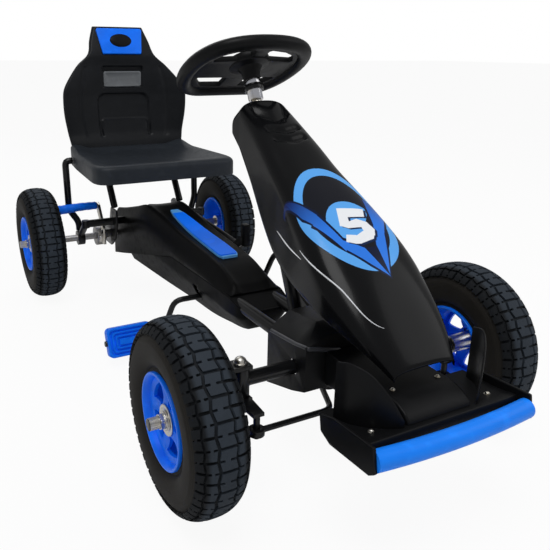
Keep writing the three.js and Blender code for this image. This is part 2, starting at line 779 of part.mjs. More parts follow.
// Height of the cover's ridges at a place along the kart.
function coverTop(y) {
  const after = COVER_STATIONS.findIndex((station) => station[0] >= y);
  const [y0, , z0] = COVER_STATIONS[after - 1];
  const [y1, , z1] = COVER_STATIONS[after];
  return z0 + ((z1 - z0) * (y - y0)) / (y1 - y0);
}

// The bright strip that lies in the trough between the cover's ridges.
function addCoverInsert() {
  const front = CRANK_Y - 50;
  const middle = COVER_STATIONS[3][0];
  const rear = COVER_STATIONS[4][0] - 10;
  const stations = [[front, 15], [front + 14, 21], [middle, 20], [rear - 30, 15], [rear, 9]];
  const rings = stations.map(([y, half]) => {
    const low = coverTop(y) - TROUGH_DEPTH + GAP;
    return [
      point(-half, y, low),
      point(half, y, low),
      point(half - 2, y, low + INSERT_THICKNESS),
      point(2 - half, y, low + INSERT_THICKNESS),
    ];
  });
  add("cover_insert", loft(rings, "y"), "blue");
}

function addCase() {
  const widest = RAIL_OUTSIDE + 5;
  const stations = [
    [CASE_FRONT_Y, 34, AXLE_Z + 8, 26],
    [CASE_FRONT_Y + 26, RAIL_OUTSIDE + 4, AXLE_Z - 16, 24],
    [CRANK_Y - 80, widest, AXLE_Z - 36, 18],
    [CRANK_Y, widest, AXLE_Z - 49, 14],
    [CRANK_Y + 90, widest, AXLE_Z - 51, 16],
    [CRANK_Y + 230, widest, AXLE_Z - 57, 20],
    [CASE_REAR_Y, RAIL_OUTSIDE + 4, AXLE_Z - 64, 26],
  ];
  const topZ = AXLE_Z + 80;
  const ring = ([y, topHalf, lowZ, lowHalf], inset) => {
    const right = [
      [lowHalf - inset, lowZ + inset],
      [topHalf - inset, Math.max(AXLE_Z + 12, lowZ + inset + 6)],
      [topHalf - inset, topZ + 3 * inset],
    ];
    const left = right.map(([x, z]) => [-x, z]).reverse();
    return [...right, ...left].map(([x, z]) => point(x, y, z));
  };
  const outer = loft(stations.map((station) => ring(station, 0)), "y");
  const inside = insideStations(stations, WALL, -WALL);
  const inner = loft(inside.map((station) => ring(station, WALL)), "y");
  const slot = block(point(-80, CRANK_Y - 8, CRANK_Z - 8), point(80, CRANK_Y + 8, CRANK_Z + 26));
  const rails = SIDE_SIGNS.map((side) => {
    const x = side * RAIL_X;
    const front = point(x, CASE_FRONT_Y - 20, RAIL_Z);
    const back = point(x, CASE_FRONT_Y + 60, RAIL_Z);
    return bar(front, back, RAIL_RADIUS + 1);
  });
  add("chain_case", cutBy(outer, inner, seamSide(0, AXLE_Z + 120), slot, ...rails), "blackPlastic");
}

// ---------- front body ----------

function hoodRing([offset, halfWidth, top, bottom], inset, drop) {
  const half = halfWidth - inset;
  const topZ = AXLE_Z + top - inset;
  const lowZ = AXLE_Z + bottom - drop;
  const crown = Math.min(0.6 * halfWidth, 0.8 * (topZ - lowZ));
  const corners = 5;
  const right = [[half, lowZ]];
  for (let i = 0; i < corners; i += 1) {
    const angle = (i * Math.PI) / 2 / corners;
    const x = half * Math.cos(angle) ** 0.75;
    const z = topZ - crown + crown * Math.sin(angle) ** 0.75;
    right.push([x, z]);
  }
  const left = right.map(([x, z]) => [-x, z]).reverse();
  return [...right, [0, topZ], ...left].map(([x, z]) => point(x, FRONT_AXLE_Y + offset, z));
}

function columnPoint(along) {
  return point(
    0,
    WHEEL_CENTRE_Y - along * Math.sin(COLUMN_TILT),
    WHEEL_CENTRE_Z - along * Math.cos(COLUMN_TILT),
  );
}

function addHood() {
  const outer = loft(HOOD_STATIONS.map((station) => hoodRing(station, 0, 0)), "y");
  const inside = insideStations(HOOD_STATIONS, 8, WALL);
  const inner = loft(inside.map((station) => hoodRing(station, WALL, 30)), "y");
  const mouth = bar(columnPoint(20), columnPoint(140), 20);
  add("hood", cutBy(outer, inner, mouth), "glossBlack");
}

function addFrontHousing() {
  const half = 80;
  const stations = [
    [FRONT_AXLE_Y + 69, AXLE_Z + 60, AXLE_Z + 84, AXLE_Z - 26],
    [FRONT_AXLE_Y, AXLE_Z + 66, AXLE_Z + 92, AXLE_Z - 6],
    [FRONT_AXLE_Y - 31, AXLE_Z + 72, AXLE_Z + 84, AXLE_Z + 6],
  ];
  const ring = ([y, sideZ, middleZ, lowZ], inset, drop) => {
    const right = [
      [half - inset, lowZ - drop],
      [half - inset, sideZ - inset],
      [half * 0.55, middleZ - inset],
    ];
    const left = right.map(([x, z]) => [-x, z]).reverse();
    return [...right, ...left].map(([x, z]) => point(x, y, z));
  };
  const outer = loft(stations.map((station) => ring(station, 0, 0)), "y");
  const inside = insideStations(stations, 10, WALL);
  const inner = loft(inside.map((station) => ring(station, WALL, 30)), "y");
  const beam = barX(-120, 120, FRONT_AXLE_Y, BEAM_Z, BEAM_RADIUS + 1);
  const rails = SIDE_SIGNS.map((side) => {
    const x = side * RAIL_X;
    return bar(point(x, FRONT_AXLE_Y + 40, RAIL_Z), point(x, FRONT_AXLE_Y + 100, RAIL_Z), RAIL_RADIUS + 1);
  });
  add("front_housing", cutBy(outer, inner, beam, ...rails), "blackPlastic");
}

function addWing() {
  const deck = [
    [BUMPER_Y + 104, AXLE_Z + 30],
    [BUMPER_Y + 50, AXLE_Z + 31],
    [BUMPER_Y + 22, AXLE_Z + 22],
    [BUMPER_Y + BUMPER_RADIUS + 2 * GAP, AXLE_Z + 22],
    [BUMPER_Y + BUMPER_RADIUS + 2 * GAP, AXLE_Z + 42],
    [BUMPER_Y + 50, AXLE_Z + 37],
    [BUMPER_Y + 104, AXLE_Z + 35],
  ];
  const housingFront = FRONT_AXLE_Y - 31 - GAP;
  const middle = [
    [housingFront, AXLE_Z + 10],
    [BUMPER_Y + 90, AXLE_Z + 28],
    [BUMPER_Y + 24, AXLE_Z + 34],
    [BUMPER_Y + 24, AXLE_Z + 45],
    [BUMPER_Y + 47, AXLE_Z + 58],
    [housingFront, AXLE_Z + 62],
  ];
  const width = BUMPER_HALF_LENGTH;
  const fins = SIDE_SIGNS.map(finGeometry);
  const wing = joined(plateX(deck, -width, width), plateX(middle, -50, 50), ...fins);
  add("front_wing", wing, "blackPlastic");
  for (const side of SIDE_SIGNS) {
    const low = Math.min(side * (width + GAP), side * (width + GAP + END_PLATE_THICKNESS));
    const outline = [
      [BUMPER_Y + 96, AXLE_Z + 38],
      [BUMPER_Y + 92, AXLE_Z + 17],
      [BUMPER_Y + 73, AXLE_Z + 9],
      [BUMPER_Y + 2, AXLE_Z + 13],
      [BUMPER_Y - 8, AXLE_Z + 20],
      [BUMPER_Y - 2, AXLE_Z + 50],
      [BUMPER_Y + 70, AXLE_Z + 46],
    ];
    add(`end_plate_${sideName(side)}`, plateX(outline, low, low + END_PLATE_THICKNESS), "blackPlastic");
  }
}

// A thin upright blade that curves forward and inward from the deck's rear corner.
function finGeometry(side) {
  const stations = [
    [110, BUMPER_Y + 86, AXLE_Z + 108],
    [104, BUMPER_Y + 66, AXLE_Z + 112],
    [90, BUMPER_Y + 48, AXLE_Z + 102],
    [74, BUMPER_Y + 34, AXLE_Z + 78],
    [60, BUMPER_Y + 24, AXLE_Z + 50],
  ];
  const low = AXLE_Z + 33;
  const rings = stations.map(([x, y, high]) => [
    point(side * x, y, low),
    point(side * (x - 4), y, low),
    point(side * (x - 4), y, high),
    point(side * x, y, high),
  ]);
  return loft(rings, "y");
}

function addBumper() {
  const path = new THREE.QuadraticBezierCurve3(
    point(-BUMPER_HALF_LENGTH, BUMPER_Y, BUMPER_Z),
    point(0, BUMPER_Y - 2 * BUMPER_BOW, BUMPER_Z),
    point(BUMPER_HALF_LENGTH, BUMPER_Y, BUMPER_Z),
  );
  const ends = SIDE_SIGNS.map((side) => {
    const face = side * BUMPER_HALF_LENGTH;
    const low = point(Math.min(face, face + side * 20), BUMPER_Y - 40, BUMPER_Z - 40);
    const high = point(Math.max(face, face + side * 20), BUMPER_Y + 40, BUMPER_Z + 40);
    return block(low, high);
  });
  add("bumper_tube", cutBy(bowedTube(path, 10, BUMPER_RADIUS, SIDES), ...ends), "blue");
}

// ---------- steering ----------

function addColumn() {
  const tube = bar(columnPoint(COLUMN_TUBE_TOP), columnPoint(COLUMN_TUBE_BOTTOM), COLUMN_TUBE_RADIUS);
  const low = columnPoint(COLUMN_TUBE_BOTTOM - 4);
  const high = columnPoint(COLUMN_TUBE_BOTTOM - 70);
  const reachY = FRONT_AXLE_Y + BEAM_RADIUS + GAP;
  const gusset = plateX(
    [[low.y, low.z], [high.y, high.z], [reachY, BEAM_Z + 14], [reachY, BEAM_Z + 3]],
    -3, 3,
  );
  const beam = barX(-10, 10, FRONT_AXLE_Y, BEAM_Z, BEAM_RADIUS + GAP);
  const boreTop = columnPoint(COLUMN_TUBE_TOP - 20);
  const boreBottom = columnPoint(COLUMN_TUBE_BOTTOM + 20);
  const bore = bar(boreTop, boreBottom, boreRadius(COLUMN_RADIUS));
  add("column_tube", cutBy(joined(tube, gusset), bore, beam), "blackPaint");
  const bushTop = columnPoint(COLUMN_TUBE_TOP - 10);
  const bush = bar(bushTop, columnPoint(COLUMN_TUBE_TOP - GAP), COLUMN_TUBE_RADIUS + 2);
  add("column_bush", cutBy(bush, bore), "blackPlastic");
  const shaft = bar(columnPoint(14), columnPoint(COLUMN_BOTTOM), COLUMN_RADIUS);
  add("steering_column", joined(shaft, pitmanArm()), "zinc");
}

function tiePin() {
  const across = columnPoint(0);
  const along = (across.z + STEER_ARM * Math.sin(COLUMN_TILT) - TIE_ROD_Z) / Math.cos(COLUMN_TILT);
  const foot = columnPoint(along);
  return point(0, foot.y - STEER_ARM * Math.cos(COLUMN_TILT), TIE_ROD_Z);
}

function pitmanArm() {
  const pin = tiePin();
  const rear = columnPoint(COLUMN_BOTTOM - 6).y + 10;
  const top = TIE_ROD_Z + TIE_EYE_HEIGHT + 14;
  const outline = [
    [-12, rear],
    [-10, pin.y],
    [-6, pin.y - 8],
    [6, pin.y - 8],
    [10, pin.y],
    [12, rear],
  ];
  const arm = plateZ([...outline].reverse(), top, top + 5);
  const peg = barZ(0, pin.y, TIE_ROD_Z - TIE_EYE_HEIGHT - 6, top + 1, TIE_PIN_RADIUS);
  return joined(arm, peg);
}

function knuckleGeometry(side) {
  const x = side * KINGPIN_X;
  const backInner = x + side * (SLEEVE_RADIUS + 4);
  const backOuter = backInner + side * 6;
  const earInner = x - side * 12;
  const slab = (fromX, toX, halfDepth, lowZ, highZ) => block(
    point(Math.min(fromX, toX), FRONT_AXLE_Y - halfDepth, lowZ),
    point(Math.max(fromX, toX), FRONT_AXLE_Y + halfDepth, highZ),
  );
  const lowEar = SLEEVE_LOW - GAP - YOKE_THICKNESS;
  const highEar = SLEEVE_HIGH + GAP;
  const axleEnd = side * (FRONT_TRACK / 2 + TYRE_WIDTH / 2 + AXLE_OVERHANG);
  const wheelHubEnd = side * (FRONT_TRACK / 2 - HUB_HALF_LENGTH);
  const armTip = FRONT_AXLE_Y - STEER_ARM;
  const arm = plateZ(
    [
      [x - 11, FRONT_AXLE_Y],
      [x - 8, armTip - 6],
      [x + 8, armTip - 6],
      [x + 11, FRONT_AXLE_Y],
    ],
    lowEar, lowEar + YOKE_THICKNESS,
  );
  const peg = barZ(x, armTip, TIE_ROD_Z - TIE_EYE_HEIGHT / 2 - 5, lowEar + 2, TIE_PIN_RADIUS);
  const body = joined(
    slab(backInner, backOuter, 13, AXLE_Z - 16, highEar + YOKE_THICKNESS),
    slab(earInner, backOuter, 13, lowEar, lowEar + YOKE_THICKNESS),
    slab(earInner, backOuter, 13, highEar, highEar + YOKE_THICKNESS),
    barX(backInner, axleEnd, FRONT_AXLE_Y, AXLE_Z, AXLE_RADIUS),
    barX(backInner, wheelHubEnd - side * GAP, FRONT_AXLE_Y, AXLE_Z, AXLE_RADIUS + 3),
    arm,
    peg,
  );
  const bore = barZ(x, FRONT_AXLE_Y, lowEar - 4, highEar + 20, KINGPIN_RADIUS + GAP);
  return cutBy(body, bore);
}

function addKnuckles() {
  for (const side of SIDE_SIGNS) {
    const x = side * KINGPIN_X;
    const name = sideName(side);
    add(`knuckle_${name}`, knuckleGeometry(side), "blackPaint");
    const lowEar = SLEEVE_LOW - GAP - YOKE_THICKNESS;
    const headLow = SLEEVE_HIGH + 2 * GAP + YOKE_THICKNESS;
    const bolt = joined(
      barZ(x, FRONT_AXLE_Y, lowEar, headLow + 2, KINGPIN_RADIUS - 0.05),
      barZ(x, FRONT_AXLE_Y, headLow, headLow + 10, 12, 6),
    );
    add(`kingpin_${name}`, bolt, "zinc");
  }
}

// Each tie rod is straight as far as the wing, then bends back to the eye under the column.
function addTieRods() {
  const pin = tiePin();
  for (const side of SIDE_SIGNS) {
    const outer = point(side * KINGPIN_X, FRONT_AXLE_Y - STEER_ARM, TIE_ROD_Z);
    const inner = pin.clone();
    inner.z += side * (TIE_EYE_HEIGHT / 2 + 1.5);
    const shift = (x, y, z) => point(side * x, y, z);
    const rod = bentTube(
      [
        outer.clone().add(shift(-TIE_EYE_RADIUS + 3, 0, 0)),
        shift(TIE_BEND_X, outer.y, TIE_ROD_Z),
        inner.clone().add(shift(OPEN_EYE_RADIUS - 1, 0, 0)),
      ],
      16, TIE_ROD_RADIUS, 10,
    );
    const eye = (centre, radius) => barZ(
      centre.x, centre.y, centre.z - TIE_EYE_HEIGHT / 2, centre.z + TIE_EYE_HEIGHT / 2, radius,
    );
    const hole = (centre, radius) => barZ(centre.x, centre.y, centre.z - 20, centre.z + 20, radius);
    const body = joined(rod, eye(outer, TIE_EYE_RADIUS), eye(inner, OPEN_EYE_RADIUS));
    const rodGeometry = cutBy(body, hole(outer, boreRadius(TIE_PIN_RADIUS)), hole(inner, OPEN_EYE_HOLE));
    add(`tie_rod_${sideName(side)}`, rodGeometry, "blackPaint");
  }
}

// The steering wheel's outline, flat towards the driver, drawn the given distance inside its edge.
function wheelOutline(inset) {
  const half = STEERING_HALF_WIDTH - inset;
  const far = STEERING_FAR - inset;
  const near = STEERING_NEAR + inset;
  const flat = 50 - inset / 2;
  const outline = new THREE.Shape();
  outline.moveTo(-flat, near);
  outline.lineTo(flat, near);
  outline.bezierCurveTo(flat + 0.7 * (half - flat), near, half, near * 0.55, half, -18);
  outline.bezierCurveTo(half, far * 0.6, half * 0.66, far, 0, far);
  outline.bezierCurveTo(-half * 0.66, far, -half, far * 0.6, -half, -18);
  outline.bezierCurveTo(-half, near * 0.55, -flat - 0.7 * (half - flat), near, -flat, near);
  return outline.getPoints(6).slice(0, -1);
}

// A thick rim round a thin plate with four slots, square to the column.
function addSteeringWheel() {
  const ring = new THREE.Shape(wheelOutline(0));
  ring.holes.push(new THREE.Path(wheelOutline(STEERING_RIM)));
  const rim = new THREE.ExtrudeGeometry(ring, {
    depth: 12, bevelThickness: 5, bevelSize: 5, bevelOffset: -5, bevelSegments: 1,
  });
  rim.translate(0, 0, -6);
  const middle = new THREE.Shape(wheelOutline(STEERING_RIM - 4));
  const plate = new THREE.ExtrudeGeometry(middle, { depth: 8, bevelEnabled: false }).translate(0, 0, -4);
  const slots = SIDE_SIGNS.flatMap((side) => [
    plateZ([[12, 26], [70, 18], [62, 33], [40, 44], [14, 49]].map(([x, y]) => [side * x, y]), -20, 20),
    plateZ([[18, -82], [50, -82], [70, -54], [22, -54]].map(([x, y]) => [side * x, y]), -20, 20),
  ]);
  const boss = new THREE.CylinderGeometry(17, 13, 26, SIDES).rotateX(Math.PI / 2).translate(0, 0, -16);
  const socketRadius = COLUMN_RADIUS + GAP + 0.2;
  const socket = new THREE.CylinderGeometry(socketRadius, socketRadius, 60, SIDES)
    .rotateX(Math.PI / 2)
    .translate(0, 0, -43.5);
  const wheel = cutBy(joined(rim, plate, boss), socket, ...slots);
  wheel.rotateZ(Math.PI).rotateX(-COLUMN_TILT);
  wheel.translate(0, WHEEL_CENTRE_Y, WHEEL_CENTRE_Z);
  add("steering_wheel", wheel, "blackPlastic");
}

// ---------- seat ----------

function backRing([height, half, back, wing]) {
  const front = [];
  const rear = [];
  for (let i = 0; i <= BACK_COLUMNS; i += 1) {
    const across = (2 * i) / BACK_COLUMNS - 1;
    const y = SEAT_BACK_Y + back - wing * Math.abs(across) ** 2.4;
    front.push(point(across * half, y, SEAT_TOP_Z + height));
    rear.push(point(across * half, y + SEAT_SHELL, SEAT_TOP_Z + height));
  }
  return [...front, ...rear.reverse()];
}

function panRing(share) {
  const y = THREE.MathUtils.lerp(SEAT_FRONT_Y, SEAT_BACK_Y + 2, share);
  const corner = 1 - Math.min(1, share / 0.14);
  const half = seatHalfWidth(y) - 28 * corner ** 2;
  const dish = SEAT_DISH * Math.sin(Math.PI * share);
  const top = [];
  for (let i = 0; i <= BACK_COLUMNS; i += 1) {
    const across = (2 * i) / BACK_COLUMNS - 1;
    top.push(point(across * half, y, SEAT_TOP_Z - dish * (1 - across ** 4)));
  }
  const inner = half - SEAT_SHELL;
  const low = SEAT_TOP_Z - SEAT_SKIRT;
  const bottom = [
    point(half, y, low),
    point(inner, y, low),
    point(inner, y, SEAT_UNDER_Z),
    point(-inner, y, SEAT_UNDER_Z),
    point(-inner, y, low),
    point(-half, y, low),
  ];
  return [...top, ...bottom];
}

function addSeat() {
  const pan = loft([0, 0.05, 0.14, 0.4, 0.7, 1].map(panRing), "y");
  const lip = block(
    point(-SEAT_HALF_WIDTH + 28, SEAT_FRONT_Y, SEAT_TOP_Z - SEAT_SKIRT),
    point(SEAT_HALF_WIDTH - 28, SEAT_FRONT_Y + SEAT_SHELL, SEAT_TOP_Z - 4),
  );
  const back = loft(BACK_STATIONS.map(backRing), "z");
  add("seat_shell", cutBy(joined(pan, lip, back), headrestPanel(GAP)), "blackPlastic");
  add("headrest_panel", headrestPanel(0), "blue");
}

// The panel let into the headrest, or with extra growth the pocket that takes it.
function headrestPanel(grow) {
  const rings = [
    [220 - grow, 46 + grow, 3],
    [279 + grow, 55 + grow, 22],
  ].map(([height, half, back]) => {
    const y = SEAT_BACK_Y + back;
    return [
      point(-half, y - 4, SEAT_TOP_Z + height),
      point(half, y - 4, SEAT_TOP_Z + height),
      point(half, y + 4 + grow, SEAT_TOP_Z + height),
      point(-half, y + 4 + grow, SEAT_TOP_Z + height),
    ];
  });
  return loft(rings, "z");
}

// ---------- levers ----------

// The lever turns on the frame's pin: the grip goes forward and the shoe goes back against the drum.
function addBrake() {
  const low = BRAKE_LEVER_X - BRAKE_PLATE / 2;
  const high = BRAKE_LEVER_X + BRAKE_PLATE / 2;
  const y = BRAKE_PIVOT_Y;
  const z = BRAKE_PIVOT_Z;
  const shoeY = REAR_AXLE_Y - DRUM_RADIUS - SHOE_GAP;
  const outline = [
    [y - 8, z - 30],
    [shoeY - 4, z - 30],
    [shoeY - 4, z - 14],
    [y + 9, z - 4],
    [y + 9, z + 8],
    [GRIP_Y + 7, GRIP_Z - 6],
    [GRIP_Y + 5, GRIP_Z + 8],
    [GRIP_Y - 9, GRIP_Z + 4],
    [y - 9, z + 10],
  ];
  const plate = plateX(outline, low, high);
  const shoe = block(point(low - 4, shoeY - 6, z - 28), point(high + 4, shoeY, z - 14));
  const spigot = barX(GRIP_OUTER_X + 8, high, GRIP_Y, GRIP_Z, 6);
  const bore = barX(low - 5, high + 5, y, z, boreRadius(BRAKE_PIN_RADIUS));
  add("brake_lever", cutBy(joined(plate, shoe, spigot), bore), "zinc");
  const grip = barX(GRIP_OUTER_X, low - GAP, GRIP_Y, GRIP_Z, GRIP_RADIUS);
  add("brake_grip", cutBy(grip, barX(GRIP_OUTER_X + 7, low + 5, GRIP_Y, GRIP_Z, 6 + GAP)), "blue");
}

// A tube along the left of the cover carries a small lever on a pin at its front end.
function addSideLever() {
  const x = PLATE_X + PLATE_THICKNESS + SIDE_RAIL_RADIUS + GAP;
  const inner = x - 18;
  const rail = bar(
    point(x, REAR_AXLE_Y - 12, PLATE_TOP_Z - 10),
    point(x, SIDE_LEVER_Y - 10, SIDE_LEVER_Z),
    SIDE_RAIL_RADIUS,
  );
  const pin = barX(inner, x, SIDE_LEVER_Y, SIDE_LEVER_Z, 4);
  add("side_rail", joined(rail, pin), "blackPaint");
  const outline = [
    [SIDE_LEVER_Y - 9, SIDE_LEVER_Z - 8],
    [SIDE_LEVER_Y + 7, SIDE_LEVER_Z - 8],
    [SIDE_LEVER_Y + 9, SIDE_LEVER_Z + 4],
    [SIDE_LEVER_Y - 40, SIDE_LEVER_Z + 32],
    [SIDE_LEVER_Y - 53, SIDE_LEVER_Z + 30],
    [SIDE_LEVER_Y - 53, SIDE_LEVER_Z + 20],
  ];
  const plate = plateX(outline, inner + 3, inner + 8);
  const handle = block(
    point(inner - 2, SIDE_LEVER_Y - 66, SIDE_LEVER_Z + 16),
    point(inner + 11, SIDE_LEVER_Y - 50, SIDE_LEVER_Z + 62),
  );
  const bore = barX(inner - 5, x, SIDE_LEVER_Y, SIDE_LEVER_Z, boreRadius(4));
  add("side_lever", cutBy(joined(plate, handle), bore), "blackPlastic");
}

addRails();
addFrontBeam();
addRearFrame();
addSeatLegs();
addCrankBearings();
addCrank();
addChain();
addPedals();
addRearAxle();
addChainCover();
addCoverInsert();
addCase();
addHood();
addFrontHousing();
addWing();
addBumper();
addColumn();
addKnuckles();
addTieRods();
addSteeringWheel();
addSeat();
addBrake();
addSideLever();
for (const side of SIDE_SIGNS) {
  addWheel("front", side, FRONT_TRACK, FRONT_AXLE_Y);
  addWheel("rear", side, REAR_TRACK, REAR_AXLE_Y);
}

export default kart;
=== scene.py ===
"""Shapes and finishes of a pedal go kart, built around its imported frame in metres, with +Z up."""
import json
import math

import bmesh
import bpy
from bpy.props import FloatProperty, FloatVectorProperty, IntProperty, PointerProperty
from bpy.types import Operator, Panel, PropertyGroup
from mathutils import Matrix, Vector


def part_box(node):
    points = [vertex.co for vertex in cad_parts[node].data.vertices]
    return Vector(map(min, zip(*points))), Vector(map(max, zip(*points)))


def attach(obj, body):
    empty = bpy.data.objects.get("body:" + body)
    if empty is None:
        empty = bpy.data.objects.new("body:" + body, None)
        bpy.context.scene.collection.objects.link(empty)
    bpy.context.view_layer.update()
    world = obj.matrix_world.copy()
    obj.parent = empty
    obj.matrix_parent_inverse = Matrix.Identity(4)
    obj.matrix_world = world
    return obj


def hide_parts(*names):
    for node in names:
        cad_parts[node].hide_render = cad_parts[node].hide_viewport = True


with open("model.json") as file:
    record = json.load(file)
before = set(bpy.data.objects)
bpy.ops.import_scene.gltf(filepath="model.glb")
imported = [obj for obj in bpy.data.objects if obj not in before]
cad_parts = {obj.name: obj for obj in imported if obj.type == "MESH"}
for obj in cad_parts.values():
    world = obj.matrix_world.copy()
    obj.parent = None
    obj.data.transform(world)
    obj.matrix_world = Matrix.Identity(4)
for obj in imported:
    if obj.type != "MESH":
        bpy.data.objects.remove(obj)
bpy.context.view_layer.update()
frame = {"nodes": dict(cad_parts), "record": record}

bl_info = {
    "name": "Pedal Kart",
    "version": (1, 0, 0),
    "blender": (4, 5, 0),
    "location": "3D View > Sidebar > Kart",
    "description": "Builds the shapes and finishes of a pedal go kart around its frame",
    "category": "Object",
}

MM = 0.001
SIDES = (("right", -1), ("left", 1))
ENDS = ("front", "rear")


# ---------- measures taken from the frame ----------

BOXES = {name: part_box(name) for name in frame["nodes"]}
SLOT_OF = {part["node"]: part["material_slot"] for part in frame["record"]["subparts"]}
BODY_OF = {node: body for body, nodes in frame["record"]["behaviour"]["bodies"].items() for node in nodes}


def low_of(node):
    return BOXES[node][0]


def high_of(node):
    return BOXES[node][1]


def middle_of(node):
    return (low_of(node) + high_of(node)) / 2


# ---------- sizes and colours a user may change ----------

def colour(name, default, description):
    """A colour property, given as linear red, green and blue."""
    return FloatVectorProperty(
        name=name, description=description, default=default, subtype="COLOR", size=3, min=0, max=1
    )


def length(name, default, description):
    """A length property in metres."""
    return FloatProperty(
        name=name, description=description, default=default, subtype="DISTANCE", unit="LENGTH"
    )


def turn_by(name, degrees, description):
    """An angle property, given in degrees."""
    return FloatProperty(
        name=name, description=description, default=math.radians(degrees), subtype="ANGLE"
    )


def level(name, default, description, unit="NONE"):
    """A plain number, or a lamp's power."""
    return FloatProperty(name=name, description=description, default=default, unit=unit)


class KartPaint(PropertyGroup):
    """Colours of the kart's materials."""

    black: colour("Black", (0.0052, 0.0054, 0.0060), "Moulded black plastic")
    # Painted shade: a darker copy of the black, so the drive covers look shaded.
    cover_black: colour("Cover black", (0.0030, 0.0031, 0.0034), "Black plastic of the drive covers")
    seat_black: colour("Seat black", (0.0090, 0.0100, 0.0120), "Moulded black plastic of the seat")
    gloss_black: colour("Gloss black", (0.0034, 0.0036, 0.0042), "Polished black plastic of the hood")
    blue: colour("Blue", (0.003, 0.165, 0.95), "Moulded blue plastic")
    pale_blue: colour("Pale blue", (0.11, 0.40, 0.90), "Ring of the hood graphic")
    deep_blue: colour("Deep blue", (0.007, 0.018, 0.12), "Dark end of the hood graphic's bolts")
    tread: colour("Tread", (0.0230, 0.0300, 0.0400), "Rubber of the tread")
    sidewall: colour("Side wall", (0.0115, 0.0100, 0.0080), "Rubber of the tyre's sides")
    zinc: colour("Zinc", (0.62, 0.61, 0.58), "Plated bolts, nuts and hubs")
    plate_grey: colour("Plate grey", (0.13, 0.14, 0.15), "Blank plate on the seat back")
    # Painted highlight: a lighter copy of the black, for the highlight along the housing's ledges.
    ledge_black: colour("Ledge black", (0.030, 0.032, 0.038), "Ledges of the front housing")
    # Painted light: the seat pan's black is lighter and bluer than the seat's, standing in for top light and
    # a bluish reflection.
    pan_black: colour("Pan black", (0.020, 0.024, 0.030), "Moulded black plastic of the seat pan")
    # Painted light: a brighter copy of the blue, for the top light on the bumper.
    bumper_blue: colour("Bumper blue", (0.010, 0.235, 1.0), "Blue plastic of the bumper")
    # Painted highlight: a paler blue whose edge shows beside the strip as its lit edge.
    edge_blue: colour("Edge blue", (0.10, 0.34, 0.72), "Base of the strip on the cover")
    mark_white: colour("Mark white", (0.7, 0.72, 0.75), "Pin stripes of the hood")
    steel: colour("Steel", (0.36, 0.36, 0.37), "Bare steel under the covers")
    chrome: colour("Chrome", (0.60, 0.61, 0.66), "Sleeve of the steering column")


class KartTyre(PropertyGroup):
    """Sizes of the tyres' blocks."""

    pitches: IntProperty(name="Pitches", description="Blocks round the tyre", default=28, min=12, max=80)
    rows: IntProperty(name="Rows", description="Block rows across the tyre", default=5, min=2, max=9)
    depth: length("Depth", 3.8 * MM, "How deep the grooves are")
    groove: length("Groove", 3.3 * MM, "How wide the grooves are")
    zigzag: length("Zigzag", 1.6 * MM, "How far the round grooves swing")


class KartStage(PropertyGroup):
    """Camera and light."""

    eye: FloatVectorProperty(
        name="Eye", description="Place of the camera", subtype="TRANSLATION",
        default=(-0.51667, -1.04127, 0.575)
    )
    yaw: turn_by("Yaw", 61.81, "Heading of the view from +X")
    pitch: turn_by("Pitch", -19.07, "Tilt of the view")
    roll: turn_by("Roll", 0.57, "Roll of the view")
    lens: FloatProperty(name="Lens", description="Focal length", default=41.84, subtype="DISTANCE_CAMERA")
    shift_across: level("Shift across", 0.0604, "Share of the picture the view is shifted sideways")
    shift_up: level("Shift up", -0.0092, "Share of the picture the view is shifted upwards")
    key_power: level("Key power", 38, "Power of the key light", "POWER")
    fill_power: level("Fill power", 10, "Power of the fill light and the back light", "POWER")
    world_level: level("World level", 0.42, "Strength of the surrounding light")
    floor_glow: level("Floor glow", 0.93, "Share of plain white in the floor as the camera sees it")


def paint(name):
    """A colour of the kart's paint, with its alpha."""
    return (*getattr(bpy.context.scene.kart_paint, name), 1)


# ---------- materials ----------

class Value:
    """A node socket that adds Math nodes when it takes part in arithmetic."""

    def __init__(self, finish, socket):
        self.finish = finish
        self.socket = socket

    def math(self, operation, *others, clamp=False):
        settings = {"operation": operation, "use_clamp": clamp}
        return self.finish.node("ShaderNodeMath", settings, [self, *others])

    def __add__(self, other):
        return self.math("ADD", other)

    def __sub__(self, other):
        return self.math("SUBTRACT", other)

    def __rsub__(self, other):
        return self.finish.node("ShaderNodeMath", {"operation": "SUBTRACT"}, [other, self])

    def __mul__(self, other):
        return self.math("MULTIPLY", other)

    def __truediv__(self, other):
        return self.math("DIVIDE", other)

    __radd__ = __add__
    __rmul__ = __mul__

    def above(self, edge, soft):
        """0 below the edge and 1 above it, with a soft step between."""
        return ((self - edge) / soft + 0.5).math("ADD", 0, clamp=True)

    def below(self, edge, soft):
        return 1 - self.above(edge, soft)


